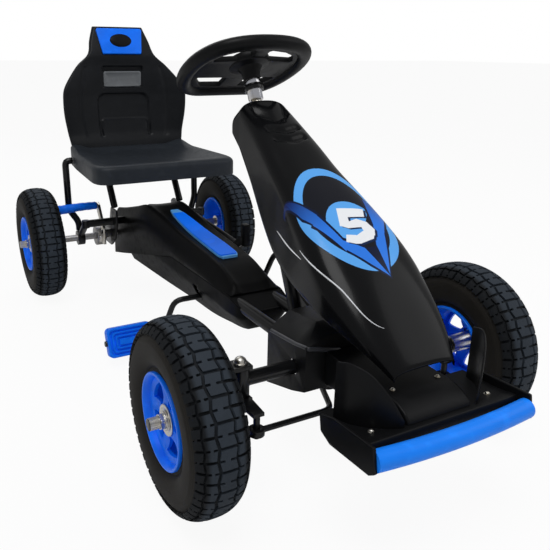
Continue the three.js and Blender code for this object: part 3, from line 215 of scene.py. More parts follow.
class Finish:
    """One material: a principled shader whose inputs are worked out by expressions."""

    def __init__(self, name, **settings):
        self.material = bpy.data.materials.new(name)
        self.material.use_nodes = True
        self.tree = self.material.node_tree
        self.tree.nodes.clear()
        self.shader = self.tree.nodes.new("ShaderNodeBsdfPrincipled")
        self.surface = self.tree.nodes.new("ShaderNodeOutputMaterial").inputs["Surface"]
        self.tree.links.new(self.shader.outputs["BSDF"], self.surface)
        for key, value in settings.items():
            self.set(key.replace("_", " ").title().replace("Ior", "IOR"), value)
        self.place = self.node("ShaderNodeTexCoord", output="Object")
        self.x, self.y, self.z = (
            self.node("ShaderNodeSeparateXYZ", inputs=[self.place], output=axis) for axis in range(3)
        )

    def set(self, name, value):
        self.feed(self.shader.inputs[name], value)

    def feed(self, socket, value):
        if isinstance(value, Value):
            self.tree.links.new(value.socket, socket)
        else:
            socket.default_value = value

    def node(self, kind, settings=None, inputs=None, output=0):
        node = self.tree.nodes.new(kind)
        for name, value in (settings or {}).items():
            setattr(node, name, value)
        pairs = inputs.items() if isinstance(inputs, dict) else enumerate(inputs or [])
        for name, value in pairs:
            self.feed(node.inputs[name], value)
        return Value(self, node.outputs[output])

    def mix(self, share, first, second):
        """A colour between two colours."""
        return self.node("ShaderNodeMix", {"data_type": "RGBA"}, {0: share, 6: first, 7: second}, output=2)

    def noise(self, scale, detail=2, stretch=None):
        """Smooth noise from 0 to 1 in the piece's own place, stretched where asked."""
        place = self.place
        if stretch:
            place = self.node("ShaderNodeVectorMath", {"operation": "MULTIPLY"}, [place, stretch])
        return self.node("ShaderNodeTexNoise", inputs={"Vector": place, "Scale": scale, "Detail": detail})

    def bump(self, height, distance, strength=1):
        inputs = {"Height": height, "Distance": distance, "Strength": strength}
        self.set("Normal", self.node("ShaderNodeBump", inputs=inputs))


def shaded(colour_value, share):
    return tuple(part * share for part in colour_value[:3]) + (1,)


PLASTIC_GRAIN = 0.10 * MM
RUBBER_GRAIN = 0.35 * MM
WALL_RINGS = 2600


def moulded(name, colour_value, roughness, specular):
    """Moulded plastic: a fine spark-eroded grain, faint flow marks and rubbed patches."""
    finish = Finish(name, specular_ior_level=specular)
    flow = finish.noise(9, 3, (1, 1, 2.5))
    rubbed = finish.noise(55, 6).above(0.6, 0.15)
    body = finish.mix(flow, shaded(colour_value, 0.8), shaded(colour_value, 1.25))
    finish.set("Base Color", finish.mix(rubbed * 0.25, body, shaded(colour_value, 1.7)))
    finish.set("Roughness", roughness + (flow - 0.5) * 0.18 + rubbed * 0.08)
    finish.bump(finish.noise(1500, 2), PLASTIC_GRAIN, 0.6)
    return finish.material


def painted_steel():
    """Powder-coated black steel with a little orange peel and dust."""
    finish = Finish("black_paint", specular_ior_level=0.2, coat_roughness=0.15)
    dust = finish.noise(30, 6).above(0.62, 0.12)
    black = paint("black")
    finish.set("Base Color", finish.mix(dust * 0.5, black, shaded(black, 2.6)))
    finish.set("Roughness", 0.28 + dust * 0.2)
    finish.set("Coat Weight", 0.25 - dust * 0.2)
    finish.bump(finish.noise(420, 1), 0.00012, 0.5)
    return finish.material


def plated(name, colour_value, roughness):
    """Plated metal with faint draw marks and a slight straw tint in patches."""
    finish = Finish(name)
    tint = finish.noise(70, 3)
    straw = tuple(part * share for part, share in zip(colour_value, (1.0, 0.86, 0.58))) + (1,)
    finish.set("Base Color", finish.mix(tint.above(0.56, 0.3) * 0.5, colour_value, straw))
    finish.set("Metallic", 1.0)
    finish.set("Roughness", roughness + finish.noise(260, 4) * 0.16)
    finish.bump(finish.noise(900, 2, (1, 0.1, 1)), 0.00006, 0.5)
    return finish.material


def tyre_rubber(tread_radius, groove_radius):
    """Dull rubber: blue-grey blocks, grooves darkened with painted shade, brown-black and ringed side walls.
    """
    finish = Finish("tyre_rubber", specular_ior_level=0.2)
    tread, sidewall = paint("tread"), paint("sidewall")
    radius = (finish.y * finish.y + finish.z * finish.z).math("SQRT")
    on_tread = radius.above(tread_radius, 4 * MM)
    on_block = radius.above(groove_radius, 2 * MM)
    bloom = finish.noise(28, 5)
    side = finish.mix(bloom, shaded(sidewall, 0.75), shaded(sidewall, 1.3))
    block = finish.mix(bloom, shaded(tread, 0.7), shaded(tread, 1.5))
    # Painted shade: below the groove radius the tread's colour drops to a fifth, darkening the grooves.
    top = finish.mix(on_block, shaded(tread, 0.2), block)
    finish.set("Base Color", finish.mix(on_tread, side, top))
    finish.set("Roughness", 0.62 + bloom * 0.16 + on_tread * 0.05)
    ribs = (radius * WALL_RINGS).math("SINE") * (1 - on_tread) * 0.25
    finish.bump(finish.noise(700, 3) + ribs, RUBBER_GRAIN, 0.5)
    return finish.material


def convex(x, y, corners):
    """1 inside a convex outline given as corners in order, and 0 outside."""
    inside = None
    sides = list(zip(corners, corners[1:] + corners[:1]))
    area = sum(x0 * y1 - x1 * y0 for (x0, y0), (x1, y1) in sides)
    turn = 1 if area > 0 else -1
    for (x0, y0), (x1, y1) in sides:
        reach = math.hypot(x1 - x0, y1 - y0)
        across = -(y1 - y0) * turn / reach
        along = (x1 - x0) * turn / reach
        step = (x * across + y * along).above(across * x0 + along * y0, 0.5)
        inside = step if inside is None else inside * step
    return inside


def ellipse(x, y, centre, radii):
    """How far out a place is, as a share of an ellipse's radii."""
    dx = (x - centre[0]) / radii[0]
    dy = (y - centre[1]) / radii[1]
    return (dx * dx + dy * dy).math("SQRT")


def patches(x, y, outlines):
    """1 inside any of some convex outlines, and 0 elsewhere."""
    total = None
    for outline in outlines:
        patch = convex(x, y, outline)
        total = patch if total is None else total.math("MAXIMUM", patch)
    return total


# The hood graphic, in millimetres across and along the hood from its own centre, seen from above.
GRAPHIC_Y = -371
HOOD_SLOPE = 0.58
HOOD_WALL_TOP = 324
RING_RADII = (66, 81)
RING_INNER = 0.83
DISC_CENTRE = (3, -25)
DISC_RADII = (43, 44)
# How fast the bolts' pattern of dots turns, in radians per millimetre.
DOT_RATE = 1.9
FIGURE_SHADE_SHIFT = 2.5
INSIDE_RING = (0.010, 0.011, 0.018, 1)
BOLT_LIGHT = (0.03, 0.20, 0.80, 1)
BOLT_EDGE = (0.006, 0.010, 0.035, 1)
FIGURE_SHADE = (0.008, 0.02, 0.07, 1)
FIGURE_WHITE = (0.88, 0.90, 0.93, 1)
DISC_CLIP = [(-60, 40), (-45, -10), (-25, -45), (0, -40), (45, 10), (45, 40)]
BOLTS = [
    [(-66, 62), (-42, 7), (-52, -6), (-60, 14)],
    [(-44, 12), (-29, -41), (-34, -51), (-54.5, -3)],
    [(-32, -36), (-6, -52), (9, -89), (-10, -72), (-36, -46)],
    [(46, 26), (64, 8), (58, -10), (40, -34), (30, -22)],
    [(43, -30), (32, -18), (14, -50), (9, -89), (24, -62)],
]
BOLT_EDGES = [
    [(-67, 66), (-39, 9), (-52, -10), (-62, 11)],
    [(-41, 16), (-26, -40), (-33, -54), (-58, -4)],
    [(-30, -32), (-4, -50), (9, -92), (-12, -75), (-39, -47)],
    [(42, 30), (68, 8), (60, -12), (42, -38), (27, -20)],
    [(46, -32), (30, -14), (12, -50), (9, -92), (27, -62)],
    [(-10, -68), (-2, -52), (14, -52), (24, -62), (9, -92)],
]
FIGURE = [
    [(-10, 9), (31, 4), (24, -9), (-14, -6)],
    [(-10, 9), (3, 7), (-7, -20), (-22, -18)],
    [(-22, -17), (-8, -14), (9, -11), (23, -18), (8, -24), (-12, -23)],
    [(9, -11), (22, -18), (27, -29), (21, -38), (8, -31)],
    [(6, -30), (27, -29), (16, -42), (-8, -46), (-8, -35)],
    [(-7, -34), (-7, -46), (-15, -45), (-27, -40), (-21, -31)],
]


def hood_finish():
    """Polished black with a broken ring, two bolts that meet ahead of it and a figure five."""
    finish = Finish("gloss_black_plastic", specular_ior_level=0.11, coat_weight=0.05, coat_roughness=0.05)
    x = finish.x / MM
    y = finish.y / MM - GRAPHIC_Y
    on_top = (finish.z / MM - y * HOOD_SLOPE).above(HOOD_WALL_TOP, 3)
    black, pale_blue = paint("gloss_black"), paint("pale_blue")
    ring = ellipse(x, y, (0, 0), RING_RADII)
    band = ring.above(RING_INNER, 0.008) * ring.below(1.0, 0.008)
    disc = ellipse(x, y, DISC_CENTRE, DISC_RADII).below(1, 0.012) * convex(x, y, DISC_CLIP)
    dots = ((x + y) * DOT_RATE).math("SINE") * ((x - y) * DOT_RATE).math("SINE")
    fade = (y / -70 + 0.72 + dots * 0.14).math("ADD", 0, clamp=True)
    shade = patches(x - FIGURE_SHADE_SHIFT, y + FIGURE_SHADE_SHIFT, FIGURE)
    body = finish.mix(finish.noise(14, 3), shaded(black, 0.8), shaded(black, 1.3))
    layers = (
        (ring.below(RING_INNER, 0.006) * 0.7 * on_top, INSIDE_RING),
        (band * on_top, pale_blue),
        (disc, pale_blue),
        (patches(x, y, BOLT_EDGES) * on_top, BOLT_EDGE),
        (patches(x, y, BOLTS) * on_top, finish.mix(fade, paint("deep_blue"), BOLT_LIGHT)),
        (shade, FIGURE_SHADE),
        (patches(x, y, FIGURE), FIGURE_WHITE),
    )
    for share, layer in layers:
        body = finish.mix(share, body, layer)
    finish.set("Base Color", body)
    finish.set("Roughness", 0.17 + finish.noise(40, 4) * 0.1)
    finish.bump(finish.noise(35, 2), 0.4 * MM, 0.08)
    return finish.material


# Moulded plastics: [colour, roughness, specular level].
PLASTICS = {
    "black_plastic": ("black", 0.38, 0.11),
    # Painted shade: the covers' plastic is a darker copy of the black.
    "cover_plastic": ("cover_black", 0.4, 0.05),
    # Painted highlight: the ledges' plastic is a lighter copy of the black.
    "ledge_plastic": ("ledge_black", 0.34, 0.4),
    # Painted light: the pan's plastic is a lighter, bluer copy of the seat's black.
    "pan_plastic": ("pan_black", 0.4, 0.16),
    "seat_plastic": ("seat_black", 0.4, 0.14),
    "blue_plastic": ("blue", 0.34, 0.16),
    # Painted light: the bumper's plastic is a brighter copy of the blue.
    "bumper_blue": ("bumper_blue", 0.34, 0.16),
    "blue_rim": ("blue", 0.3, 0.2),
    "plate_grey": ("plate_grey", 0.3, 0.5),
    "white_mark": ("mark_white", 0.4, 0.16),
    # Painted highlight: the paler blue under the strip, showing as its lit edge.
    "edge_blue": ("edge_blue", 0.4, 0.16),
}
# Metals: [colour, roughness].
METALS = {
    "zinc_steel": ("zinc", 0.22),
    "plain_steel": ("steel", 0.34),
    "chrome": ("chrome", 0.06),
}


def make_finishes():
    """Every material of the kart, by the record's slot or by its own name."""
    groove_radius = middle_of("front_right_tyre").z - bpy.context.scene.kart_tyre.depth
    finishes = {name: moulded(name, paint(tint), *look) for name, (tint, *look) in PLASTICS.items()}
    finishes |= {name: plated(name, paint(tint), *look) for name, (tint, *look) in METALS.items()}
    finishes["gloss_black_plastic"] = hood_finish()
    finishes["black_paint"] = painted_steel()
    finishes["tyre_rubber"] = tyre_rubber(TREAD_EDGE * MM, groove_radius)
    return finishes


FINISHES = {}


# ---------- mesh building ----------

def linked(name, data, at=(0, 0, 0)):
    """An object of the scene that holds some data."""
    obj = bpy.data.objects.new(name, data)
    obj.location = at
    bpy.context.scene.collection.objects.link(obj)
    return obj


def piece(name, vertices, faces, finish, sharp=35, at=(0, 0, 0)):
    """An object from vertices and faces, smooth except at its sharp edges."""
    mesh = bpy.data.meshes.new(name)
    mesh.from_pydata([tuple(v) for v in vertices], [], faces)
    work = bmesh.new()
    work.from_mesh(mesh)
    bmesh.ops.remove_doubles(work, verts=work.verts, dist=1e-6)
    bmesh.ops.recalc_face_normals(work, faces=work.faces)
    work.to_mesh(mesh)
    work.free()
    mesh.shade_smooth()
    if sharp:
        mesh.set_sharp_from_angle(angle=math.radians(sharp))
    mesh.materials.append(FINISHES[finish])
    return linked(name, mesh, at)


def settle(obj, node, stands_in=True):
    """The piece moves with a CAD node's body and, where it stands in, hides it."""
    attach(obj, BODY_OF[node])
    if stands_in:
        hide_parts(node)
    return obj


def add(name, mesh, finish, node, stands_in=True, slot=None, **look):
    """A piece that needs no further work and moves with a CAD node's body."""
    return settle(piece(name, *mesh, finish, **look), node, stands_in)


def skin(rows, wrap_rows=False, wrap_across=True):
    """Vertices and faces of a surface through rows of points of equal count."""
    count = len(rows[0])
    vertices = [p for row in rows for p in row]
    faces = []
    last = len(rows) if wrap_rows else len(rows) - 1
    across = count if wrap_across else count - 1
    for i in range(last):
        j = (i + 1) % len(rows)
        for k in range(across):
            m = (k + 1) % count
            faces.append((i * count + k, i * count + m, j * count + m, j * count + k))
    if wrap_across and not wrap_rows:
        faces.append(tuple(range(count))[::-1])
        faces.append(tuple(range((len(rows) - 1) * count, len(rows) * count)))
    return vertices, faces


def turns(count):
    """Evenly spaced angles round a full turn."""
    return [2 * math.pi * i / count for i in range(count)]


def about_x(across, radius, angle):
    """A place round the X axis, in metres, from millimetres."""
    return Vector((across, radius * math.cos(angle), radius * math.sin(angle))) * MM


def lathed(profile, segments, side=1):
    """A closed [radius, across] profile in millimetres turned about the X axis."""
    rows = []
    for angle in turns(segments):
        rows.append([about_x(side * across, radius, angle) for radius, across in profile])
    return skin(rows, wrap_rows=True)


def joined(*meshes):
    """Several vertex and face lists as one."""
    vertices, faces = [], []
    for more_vertices, more_faces in meshes:
        start = len(vertices)
        vertices += more_vertices
        faces += [tuple(start + i for i in face) for face in more_faces]
    return vertices, faces


def moved(mesh, matrix):
    vertices, faces = mesh
    return [matrix @ Vector(v) for v in vertices], faces


def round_path(corners, bend, steps=8):
    """Points along straight runs joined by round bends."""
    corners = [Vector(c) for c in corners]
    points = [corners[0]]
    for before, corner, after in zip(corners, corners[1:], corners[2:]):
        start = corner + (before - corner).normalized() * min(bend, (before - corner).length / 2)
        end = corner + (after - corner).normalized() * min(bend, (after - corner).length / 2)
        for i in range(steps + 1):
            t = i / steps
            points.append(start * (1 - t) ** 2 + corner * 2 * t * (1 - t) + end * t * t)
    points.append(corners[-1])
    return points


def swept(path, radius, sides=20, closed=False, flat=1.0, rounded=0.0):
    """A round bar along a path. radius may be a function of the share of the way along."""
    path = [Vector(p) for p in path]
    count = len(path)
    size = radius if callable(radius) else (lambda share: radius)
    rows = []
    places = []
    for i, at in enumerate(path):
        ahead = path[(i + 1) % count] if closed or i + 1 < count else at
        behind = path[i - 1] if closed or i else at
        places.append((at, (ahead - behind).normalized(), size(i / max(1, count - 1))))
    if rounded:
        places = rounded_ends(places, rounded)
    across = None
    for at, along, reach in places:
        if across is None:
            across = Vector((0, 0, 1)).cross(along).normalized()
        across = (across - along * across.dot(along)).normalized()
        second = along.cross(across)
        rows.append([at + (across * math.cos(a) + second * math.sin(a) * flat) * reach
                     for a in (2 * math.pi * (k + 0.5) / sides for k in range(sides))])
    return skin(rows, wrap_rows=closed)


CAP_STEPS = 5


def rounded_ends(places, depth):
    """Extra places at both ends of a bar that round it off within its own length."""
    caps = []
    for end, sign in ((0, 1), (-1, -1)):
        at, along, reach = places[end]
        cap = []
        for i in range(CAP_STEPS):
            angle = math.pi / 2 * i / CAP_STEPS
            inwards = along * sign * depth * (1 - math.cos(angle))
            cap.append((at + inwards, along, reach - depth * (1 - math.sin(angle))))
        cap.append((at + along * sign * depth, along, reach))
        caps.append(cap)
    first, last = places[0][0], places[-1][0]
    inner = [place for place in places
             if (place[0] - first).length > depth and (place[0] - last).length > depth]
    return caps[0] + inner + caps[1][::-1]


def cut_plate(outlines, thickness, edge=0.0):
    """A flat plate round z = 0 from closed outlines in metres, holes included, with rounded edges."""
    curve = bpy.data.curves.new("plate", "CURVE")
    curve.dimensions = "2D"
    curve.fill_mode = "BOTH"
    curve.extrude = thickness / 2 - edge
    curve.bevel_depth = edge
    curve.bevel_resolution = 2
    curve.offset = -edge
    for outline in outlines:
        spline = curve.splines.new("POLY")
        spline.points.add(len(outline) - 1)
        for target, (x, y) in zip(spline.points, outline):
            target.co = (x, y, 0, 1)
        spline.use_cyclic_u = True
    holder = linked("plate", curve)
    bpy.context.view_layer.update()
    graph = bpy.context.evaluated_depsgraph_get()
    mesh = bpy.data.meshes.new_from_object(holder.evaluated_get(graph))
    vertices = [v.co.copy() for v in mesh.vertices]
    faces = [tuple(p.vertices) for p in mesh.polygons]
    bpy.data.objects.remove(holder)
    bpy.data.curves.remove(curve)
    bpy.data.meshes.remove(mesh)
    return vertices, faces


def in_metres(outline):
    """An outline of millimetres, in metres."""
    return [(x * MM, y * MM) for x, y in outline]


def mesh_in_metres(mesh):
    """A mesh of millimetres, in metres."""
    vertices, faces = mesh
    return [v * MM for v in vertices], faces


def rounded_rectangle(half_x, half_y, corner, steps=6):
    """A closed outline of points round a rectangle with round corners."""
    points = []
    for quarter in range(4):
        sx = 1 if quarter in (0, 3) else -1
        sy = 1 if quarter in (0, 1) else -1
        for i in range(steps + 1):
            angle = math.pi / 2 * (quarter + i / steps)
            points.append((sx * (half_x - corner) + corner * math.cos(angle),
                           sy * (half_y - corner) + corner * math.sin(angle)))
    return points


def nested(outline, levels):
    """A closed solid from rings of one outline, each pulled in by a distance to its own height."""
    half_x = max(abs(x) for x, y in outline)
    half_y = max(abs(y) for x, y in outline)
    rows = []
    for inset, height in levels:
        share_x = (half_x - inset) / half_x
        share_y = (half_y - inset) / half_y
        rows.append([Vector((x * share_x, y * share_y, height)) for x, y in outline])
    return skin(rows)


def station_at(stations, place):
    """A station table's row at a place, on a smooth curve through the rows. Places rise down the table."""
    last = len(stations) - 1
    place = min(max(place, stations[0][0]), stations[last][0])
    i = 0
    while i < last - 1 and stations[i + 1][0] < place:
        i += 1
    start, end = stations[i], stations[i + 1]
    span = end[0] - start[0]
    t = (place - start[0]) / span
    before, after = stations[max(0, i - 1)], stations[min(last, i + 2)]
    row = []
    for k in range(1, len(start)):
        rise = (end[k] - before[k]) / (end[0] - before[0]) * span
        fall = (after[k] - start[k]) / (after[0] - start[0]) * span
        row.append((2 * t ** 3 - 3 * t ** 2 + 1) * start[k] + (t ** 3 - 2 * t ** 2 + t) * rise
                   + (3 * t ** 2 - 2 * t ** 3) * end[k] + (t ** 3 - t ** 2) * fall)
    return row


def spread(low, high, count):
    """Evenly spaced numbers from low to high."""
    return [low + (high - low) * i / (count - 1) for i in range(count)]


def ease(value, low, high):
    """0 below low, 1 above high and a smooth step between."""
    t = min(1, max(0, (value - low) / (high - low)))
    return t * t * (3 - 2 * t)


def soften(obj, width, segments=2, angle=32):
    """Rounds the edges of a piece with bevels."""
    bevel = obj.modifiers.new("edges", "BEVEL")
    bevel.width = width
    bevel.segments = segments
    bevel.limit_method = "ANGLE"
    bevel.angle_limit = math.radians(angle)
    bevel.use_clamp_overlap = True
    bevel.harden_normals = True


def refine(obj, levels=1):
    surface = obj.modifiers.new("surface", "SUBSURF")
    surface.levels = levels
    surface.render_levels = levels


# ---------- tyres ----------

TREAD_EDGE = 112
TREAD_HALF_ANGLE = 66
TREAD_HALF_ARC = 48.0
SECTION_RADIUS = 95
SECTION_POWER = 2.5
GROOVE_WALL = 0.5
NOTCH_SHARE = 0.34
NOTCH_WIDTH = 0.55
EDGE_SLACK = 0.2
WALL_INSET = 1.2
# The tyre's inner side, from the bead inwards: [radius, out from the middle], in millimetres.
TYRE_INSIDE = [(66.2, 29.4), (64.4, 29.4), (58.4, 29.4), (58.4, 20.4), (98, 29), (118, 15)]


def section_point(angle, half_width, radius, depth=0.0):
    """Radius and place across of the tyre's outside, at an angle from the crown."""
    power = 2 / SECTION_POWER
    rise = radius - SECTION_RADIUS
    cosine, sine = math.cos(angle), math.sin(angle)
    across = half_width * math.copysign(abs(sine) ** power, sine)
    out = SECTION_RADIUS + rise * math.copysign(abs(cosine) ** power, cosine)
    reach = math.hypot(across, out - SECTION_RADIUS)
    share = 1 - depth / reach
    return SECTION_RADIUS + (out - SECTION_RADIUS) * share, across * share


def tread_lines(rows, half_groove):
    """Places across the tread, from its middle, where a groove wall stands or a block turns."""
    width = 2 * TREAD_HALF_ARC / rows
    lines = []
    for row in range(rows):
        start = -TREAD_HALF_ARC + row * width
        low, high = start + half_groove, start + width - half_groove
        notch = NOTCH_SHARE * (high - low)
        for edge, inwards in ((low, 1), (high, -1)):
            for offset in (0, GROOVE_WALL, notch, notch + GROOVE_WALL):
                lines.append(edge + inwards * offset)
    return sorted(lines)


def is_block(across, turn, rows, half_groove, pitch_length):
    """Whether a place on the tread is on top of a block. turn counts pitches round the tyre."""
    width = 2 * TREAD_HALF_ARC / rows
    row = min(rows - 1, max(0, int((across + TREAD_HALF_ARC) // width)))
    low = -TREAD_HALF_ARC + row * width + half_groove
    high = low + width - 2 * half_groove
    if across < low + EDGE_SLACK or across > high - EDGE_SLACK:
        return False
    phase = (turn + 0.5 * (row % 2)) % 1
    if min(phase, 1 - phase) * pitch_length < half_groove + EDGE_SLACK:
        return False
    notch = NOTCH_SHARE * (high - low) + EDGE_SLACK
    in_notch = across < low + notch or across > high - notch
    return not (in_notch and abs(phase - 0.5) * pitch_length < 0.6 * half_groove + EDGE_SLACK)


def pitch_marks(half_groove, pitch_length):
    """Shares of one pitch, in order, where a groove wall stands or a block is carried round."""
    marks = [0.25, 0.75]
    for centre in (0, 0.5):
        for offset in (half_groove + GROOVE_WALL, half_groove, NOTCH_WIDTH * half_groove):
            marks += [(centre - offset / pitch_length) % 1, (centre + offset / pitch_length) % 1]
    return sorted(marks)


def tyre_walls(half_width, radius):
    """Places down one side wall, from the tread's edge to the bead: [radius, out from the middle]."""
    upper = [(0.83 + 0.17 * i / 9) * math.pi / 2 for i in range(3, 10)]
    lower = [math.pi / 2 + math.radians(a) for a in (8, 18, 28, 38, 47)]
    return [section_point(angle, half_width, radius, WALL_INSET) for angle in upper + lower]


def tyre_mesh(half_width, radius):
    """A hollow tyre with staggered, notched blocks between zigzag grooves."""
    tyre = bpy.context.scene.kart_tyre
    half_angle = math.radians(TREAD_HALF_ANGLE)
    pitch_length = 2 * math.pi * radius / tyre.pitches
    half_groove = tyre.groove / MM / 2
    lines = tread_lines(tyre.rows, half_groove)
    walls = tyre_walls(half_width, radius)
    mirrored = [(r, -a) for r, a in reversed(walls)]
    inner = TYRE_INSIDE + [(r, -a) for r, a in reversed(TYRE_INSIDE)]
    marks = pitch_marks(half_groove, pitch_length)
    rows = []
    for turn in (number + mark for number in range(tyre.pitches) for mark in marks):
        swing = tyre.zigzag / MM * (4 * abs((turn % 1) - 0.5) - 1)
        profile = []
        for across in lines:
            edge = 1 - abs(across / TREAD_HALF_ARC) ** 6
            angle = (across + swing * edge) / TREAD_HALF_ARC * half_angle
            on_block = is_block(across, turn, tyre.rows, half_groove, pitch_length)
            profile.append(section_point(angle, half_width, radius, 0 if on_block else tyre.depth / MM))
        angle = 2 * math.pi * turn / tyre.pitches
        rows.append([about_x(a, r, angle) for r, a in mirrored + profile + walls + inner])
    return skin(rows, wrap_rows=True)


class KART_OT_tyres(Operator):
    """Blocky tyres with smooth side walls, one on each wheel"""

    bl_idname = "kart.tyres"
    bl_label = "Tyres"

    def execute(self, context):
        low, high = BOXES["front_right_tyre"]
        half_width = (high.x - low.x) / 2 / MM
        radius = middle_of("front_right_tyre").z / MM
        mesh = tyre_mesh(half_width, radius)
        first = piece("front_right_tyre_rubber", *mesh, "tyre_rubber", sharp=50)
        for end in ENDS:
            for name, _ in SIDES:
                node = f"{end}_{name}_tyre"
                is_first = node == "front_right_tyre"
                tyre = first if is_first else linked(f"{node}_rubber", first.data)
                tyre.location = middle_of(node)
                settle(tyre, node)
        return {"FINISHED"}


# ---------- rims, hubs and nuts ----------

SPOKES = 5
# Places across a spoke, in millimetres from its middle.
SPOKE_OFFSETS = [-9.5, -8, -3, 0, 3, 8, 9.5]
WINDOW_COLUMNS = 5
# How far out the disc's face stands at each of its rings' radii, in millimetres.
DISC_DEPTHS = {15: 23.5, 19: 23.5, 22: 23, 26: 21.5, 30: 20.5, 37: 20.5, 44: 21.5, 48: 23, 52: 24.5, 56: 25}
DISC_THICKNESS = 5
OPEN_RINGS = range(2, 7)
RIB_HALF, RIB_START, RIB_END, RIB_HEIGHT = 3, 22, 50, 2.0
RIM_HALF = 34.3
# The barrel's outer half, as the wheel's face shows it: [radius, in from the rim's edge], in millimetres.
RIM_EDGE = [(64, 5), (64, 1), (63.2, 0), (60.8, 0), (59.2, 1.4), (57.4, 5), (55.4, 11), (53.4, 19)]
RIM_ROUNDING = 0.9
HUB_HALF = 26.4
HUB_BORE = 8.4
HUB_BOLTS, HUB_BOLT_CIRCLE = 4, 17.6
NUT_START = 8.0
NUT_HALF_FLATS = 9.6
THREAD_PITCH = 1.5


def rim_mesh(side):
    """A deep dished rim with five wide ribbed spokes and a raised middle."""
    outer = [(radius, RIM_HALF - inset) for radius, inset in RIM_EDGE]
    inner = [(radius, -place) for radius, place in reversed(outer)]
    well = [(52.6, 6), (52.6, -6)]
    tyre_side = [(58, 5 - RIM_HALF), (56, 0), (58, RIM_HALF - 5)]
    return joined(lathed(outer + well + inner + tyre_side, 96, side), spoke_disc(side))


def disc_columns():
    """Columns round the rim's disc: [kind, spoke number, place across the spoke or the window]."""
    columns = []
    for number in range(SPOKES):
        columns += [("spoke", number, offset) for offset in SPOKE_OFFSETS]
        columns += [("window", number, (i + 1) / (WINDOW_COLUMNS + 1)) for i in range(WINDOW_COLUMNS)]
    return columns


def disc_point(side, column, radius):
    """The place on the disc's face where a column crosses a ring."""
    kind, number, value = column
    sector = 2 * math.pi / SPOKES
    middle = number * sector
    edge = math.asin(SPOKE_OFFSETS[-1] / radius)
    depth = DISC_DEPTHS[radius]
    if kind == "window":
        return about_x(side * depth, radius, middle + edge + value * (sector - 2 * edge))
    if abs(value) <= RIB_HALF and RIB_START < radius < RIB_END:
        depth += RIB_HEIGHT
    return about_x(side * depth, radius, middle + math.asin(value / radius))


def disc_cells(columns):
    """The solid cells of the disc, as [ring, column]: all but those of the windows."""
    solid = set()
    for i in range(len(DISC_DEPTHS) - 1):
        for k, column in enumerate(columns):
            kinds = (column[0], columns[(k + 1) % len(columns)][0])
            if i not in OPEN_RINGS or "window" not in kinds:
                solid.add((i, k))
    return solid


def spoke_disc(side):
    """The rim's disc: rings and columns that follow the spokes, with the windows left open."""
    columns = disc_columns()
    top = [disc_point(side, column, radius) for radius in DISC_DEPTHS for column in columns]
    thickness = Vector((side * DISC_THICKNESS * MM, 0, 0))
    count, shift = len(columns), len(top)
    solid = disc_cells(columns)
    faces = []
    for i, k in sorted(solid):
        m = (k + 1) % count
        a, b, c, d = i * count + k, i * count + m, (i + 1) * count + m, (i + 1) * count + k
        faces += [(a, b, c, d), (d + shift, c + shift, b + shift, a + shift)]
        edges = {(i - 1, k): (a, b), (i + 1, k): (c, d), (i, (k - 1) % count): (d, a), (i, m): (b, c)}
        faces += [(q, p, p + shift, q + shift) for near, (p, q) in edges.items() if near not in solid]
    return top + [v - thickness for v in top], faces


def hub_mesh(side):
    """A bearing hub with a round flange plate, four bolts and a raised race."""
    profile = [(HUB_BORE, -HUB_HALF), (14, -HUB_HALF), (14, 23.6), (20.4, 23.6), (21, 24.2), (21, 25.2),
               (20.4, 25.8), (14.6, 25.8), (14, 25.4), (12.8, 25.4), (12.4, HUB_HALF - 0.4),
               (12, HUB_HALF), (HUB_BORE, HUB_HALF)]
    head = lathed([(0.01, 25), (2.2, 25), (2.2, 26.0), (1.5, 26.3), (0.01, 26.3)], 12, side)
    places = [about_x(0, HUB_BOLT_CIRCLE, math.pi / 4 + angle) for angle in turns(HUB_BOLTS)]
    return joined(lathed(profile, 48, side), *(moved(head, Matrix.Translation(place)) for place in places))


def nut_mesh(side):
    """A domed lock nut on a washer, from x = 0 outwards."""
    washer = lathed([(8.3, 0), (12.4, 0), (12.8, 0.4), (12.8, 1.2), (12.4, 1.6), (8.3, 1.6)], 40, side)
    angles = turns(48)
    rows = []
    for radius, across in ((10.2, 1.7), (11, 2.2), (11, 6.6), (10.3, 7.6)):
        ring = []
        for angle in angles:
            from_flat = (angle + math.pi / 6) % (math.pi / 3) - math.pi / 6
            reach = min(radius, NUT_HALF_FLATS / math.cos(from_flat))
            ring.append(about_x(side * across, reach, angle))
        rows.append(ring)
    for across in (7.9, 1.7):
        rows.append([about_x(side * across, HUB_BORE, angle) for angle in angles])
    return joined(washer, skin(rows, wrap_rows=True))


def axle_tip(side, reach):
    """A threaded axle end with a chamfer, from x = 0 outwards."""
    profile = [(0.01, 0), (8.06, 0)]
    for turn in range(int(reach / THREAD_PITCH)):
        profile += [(8.25, turn * THREAD_PITCH + 0.5), (7.9, turn * THREAD_PITCH + 1.2)]
    profile += [(7.0, reach - 0.1), (0.01, reach)]
    return lathed(profile, 32, side)


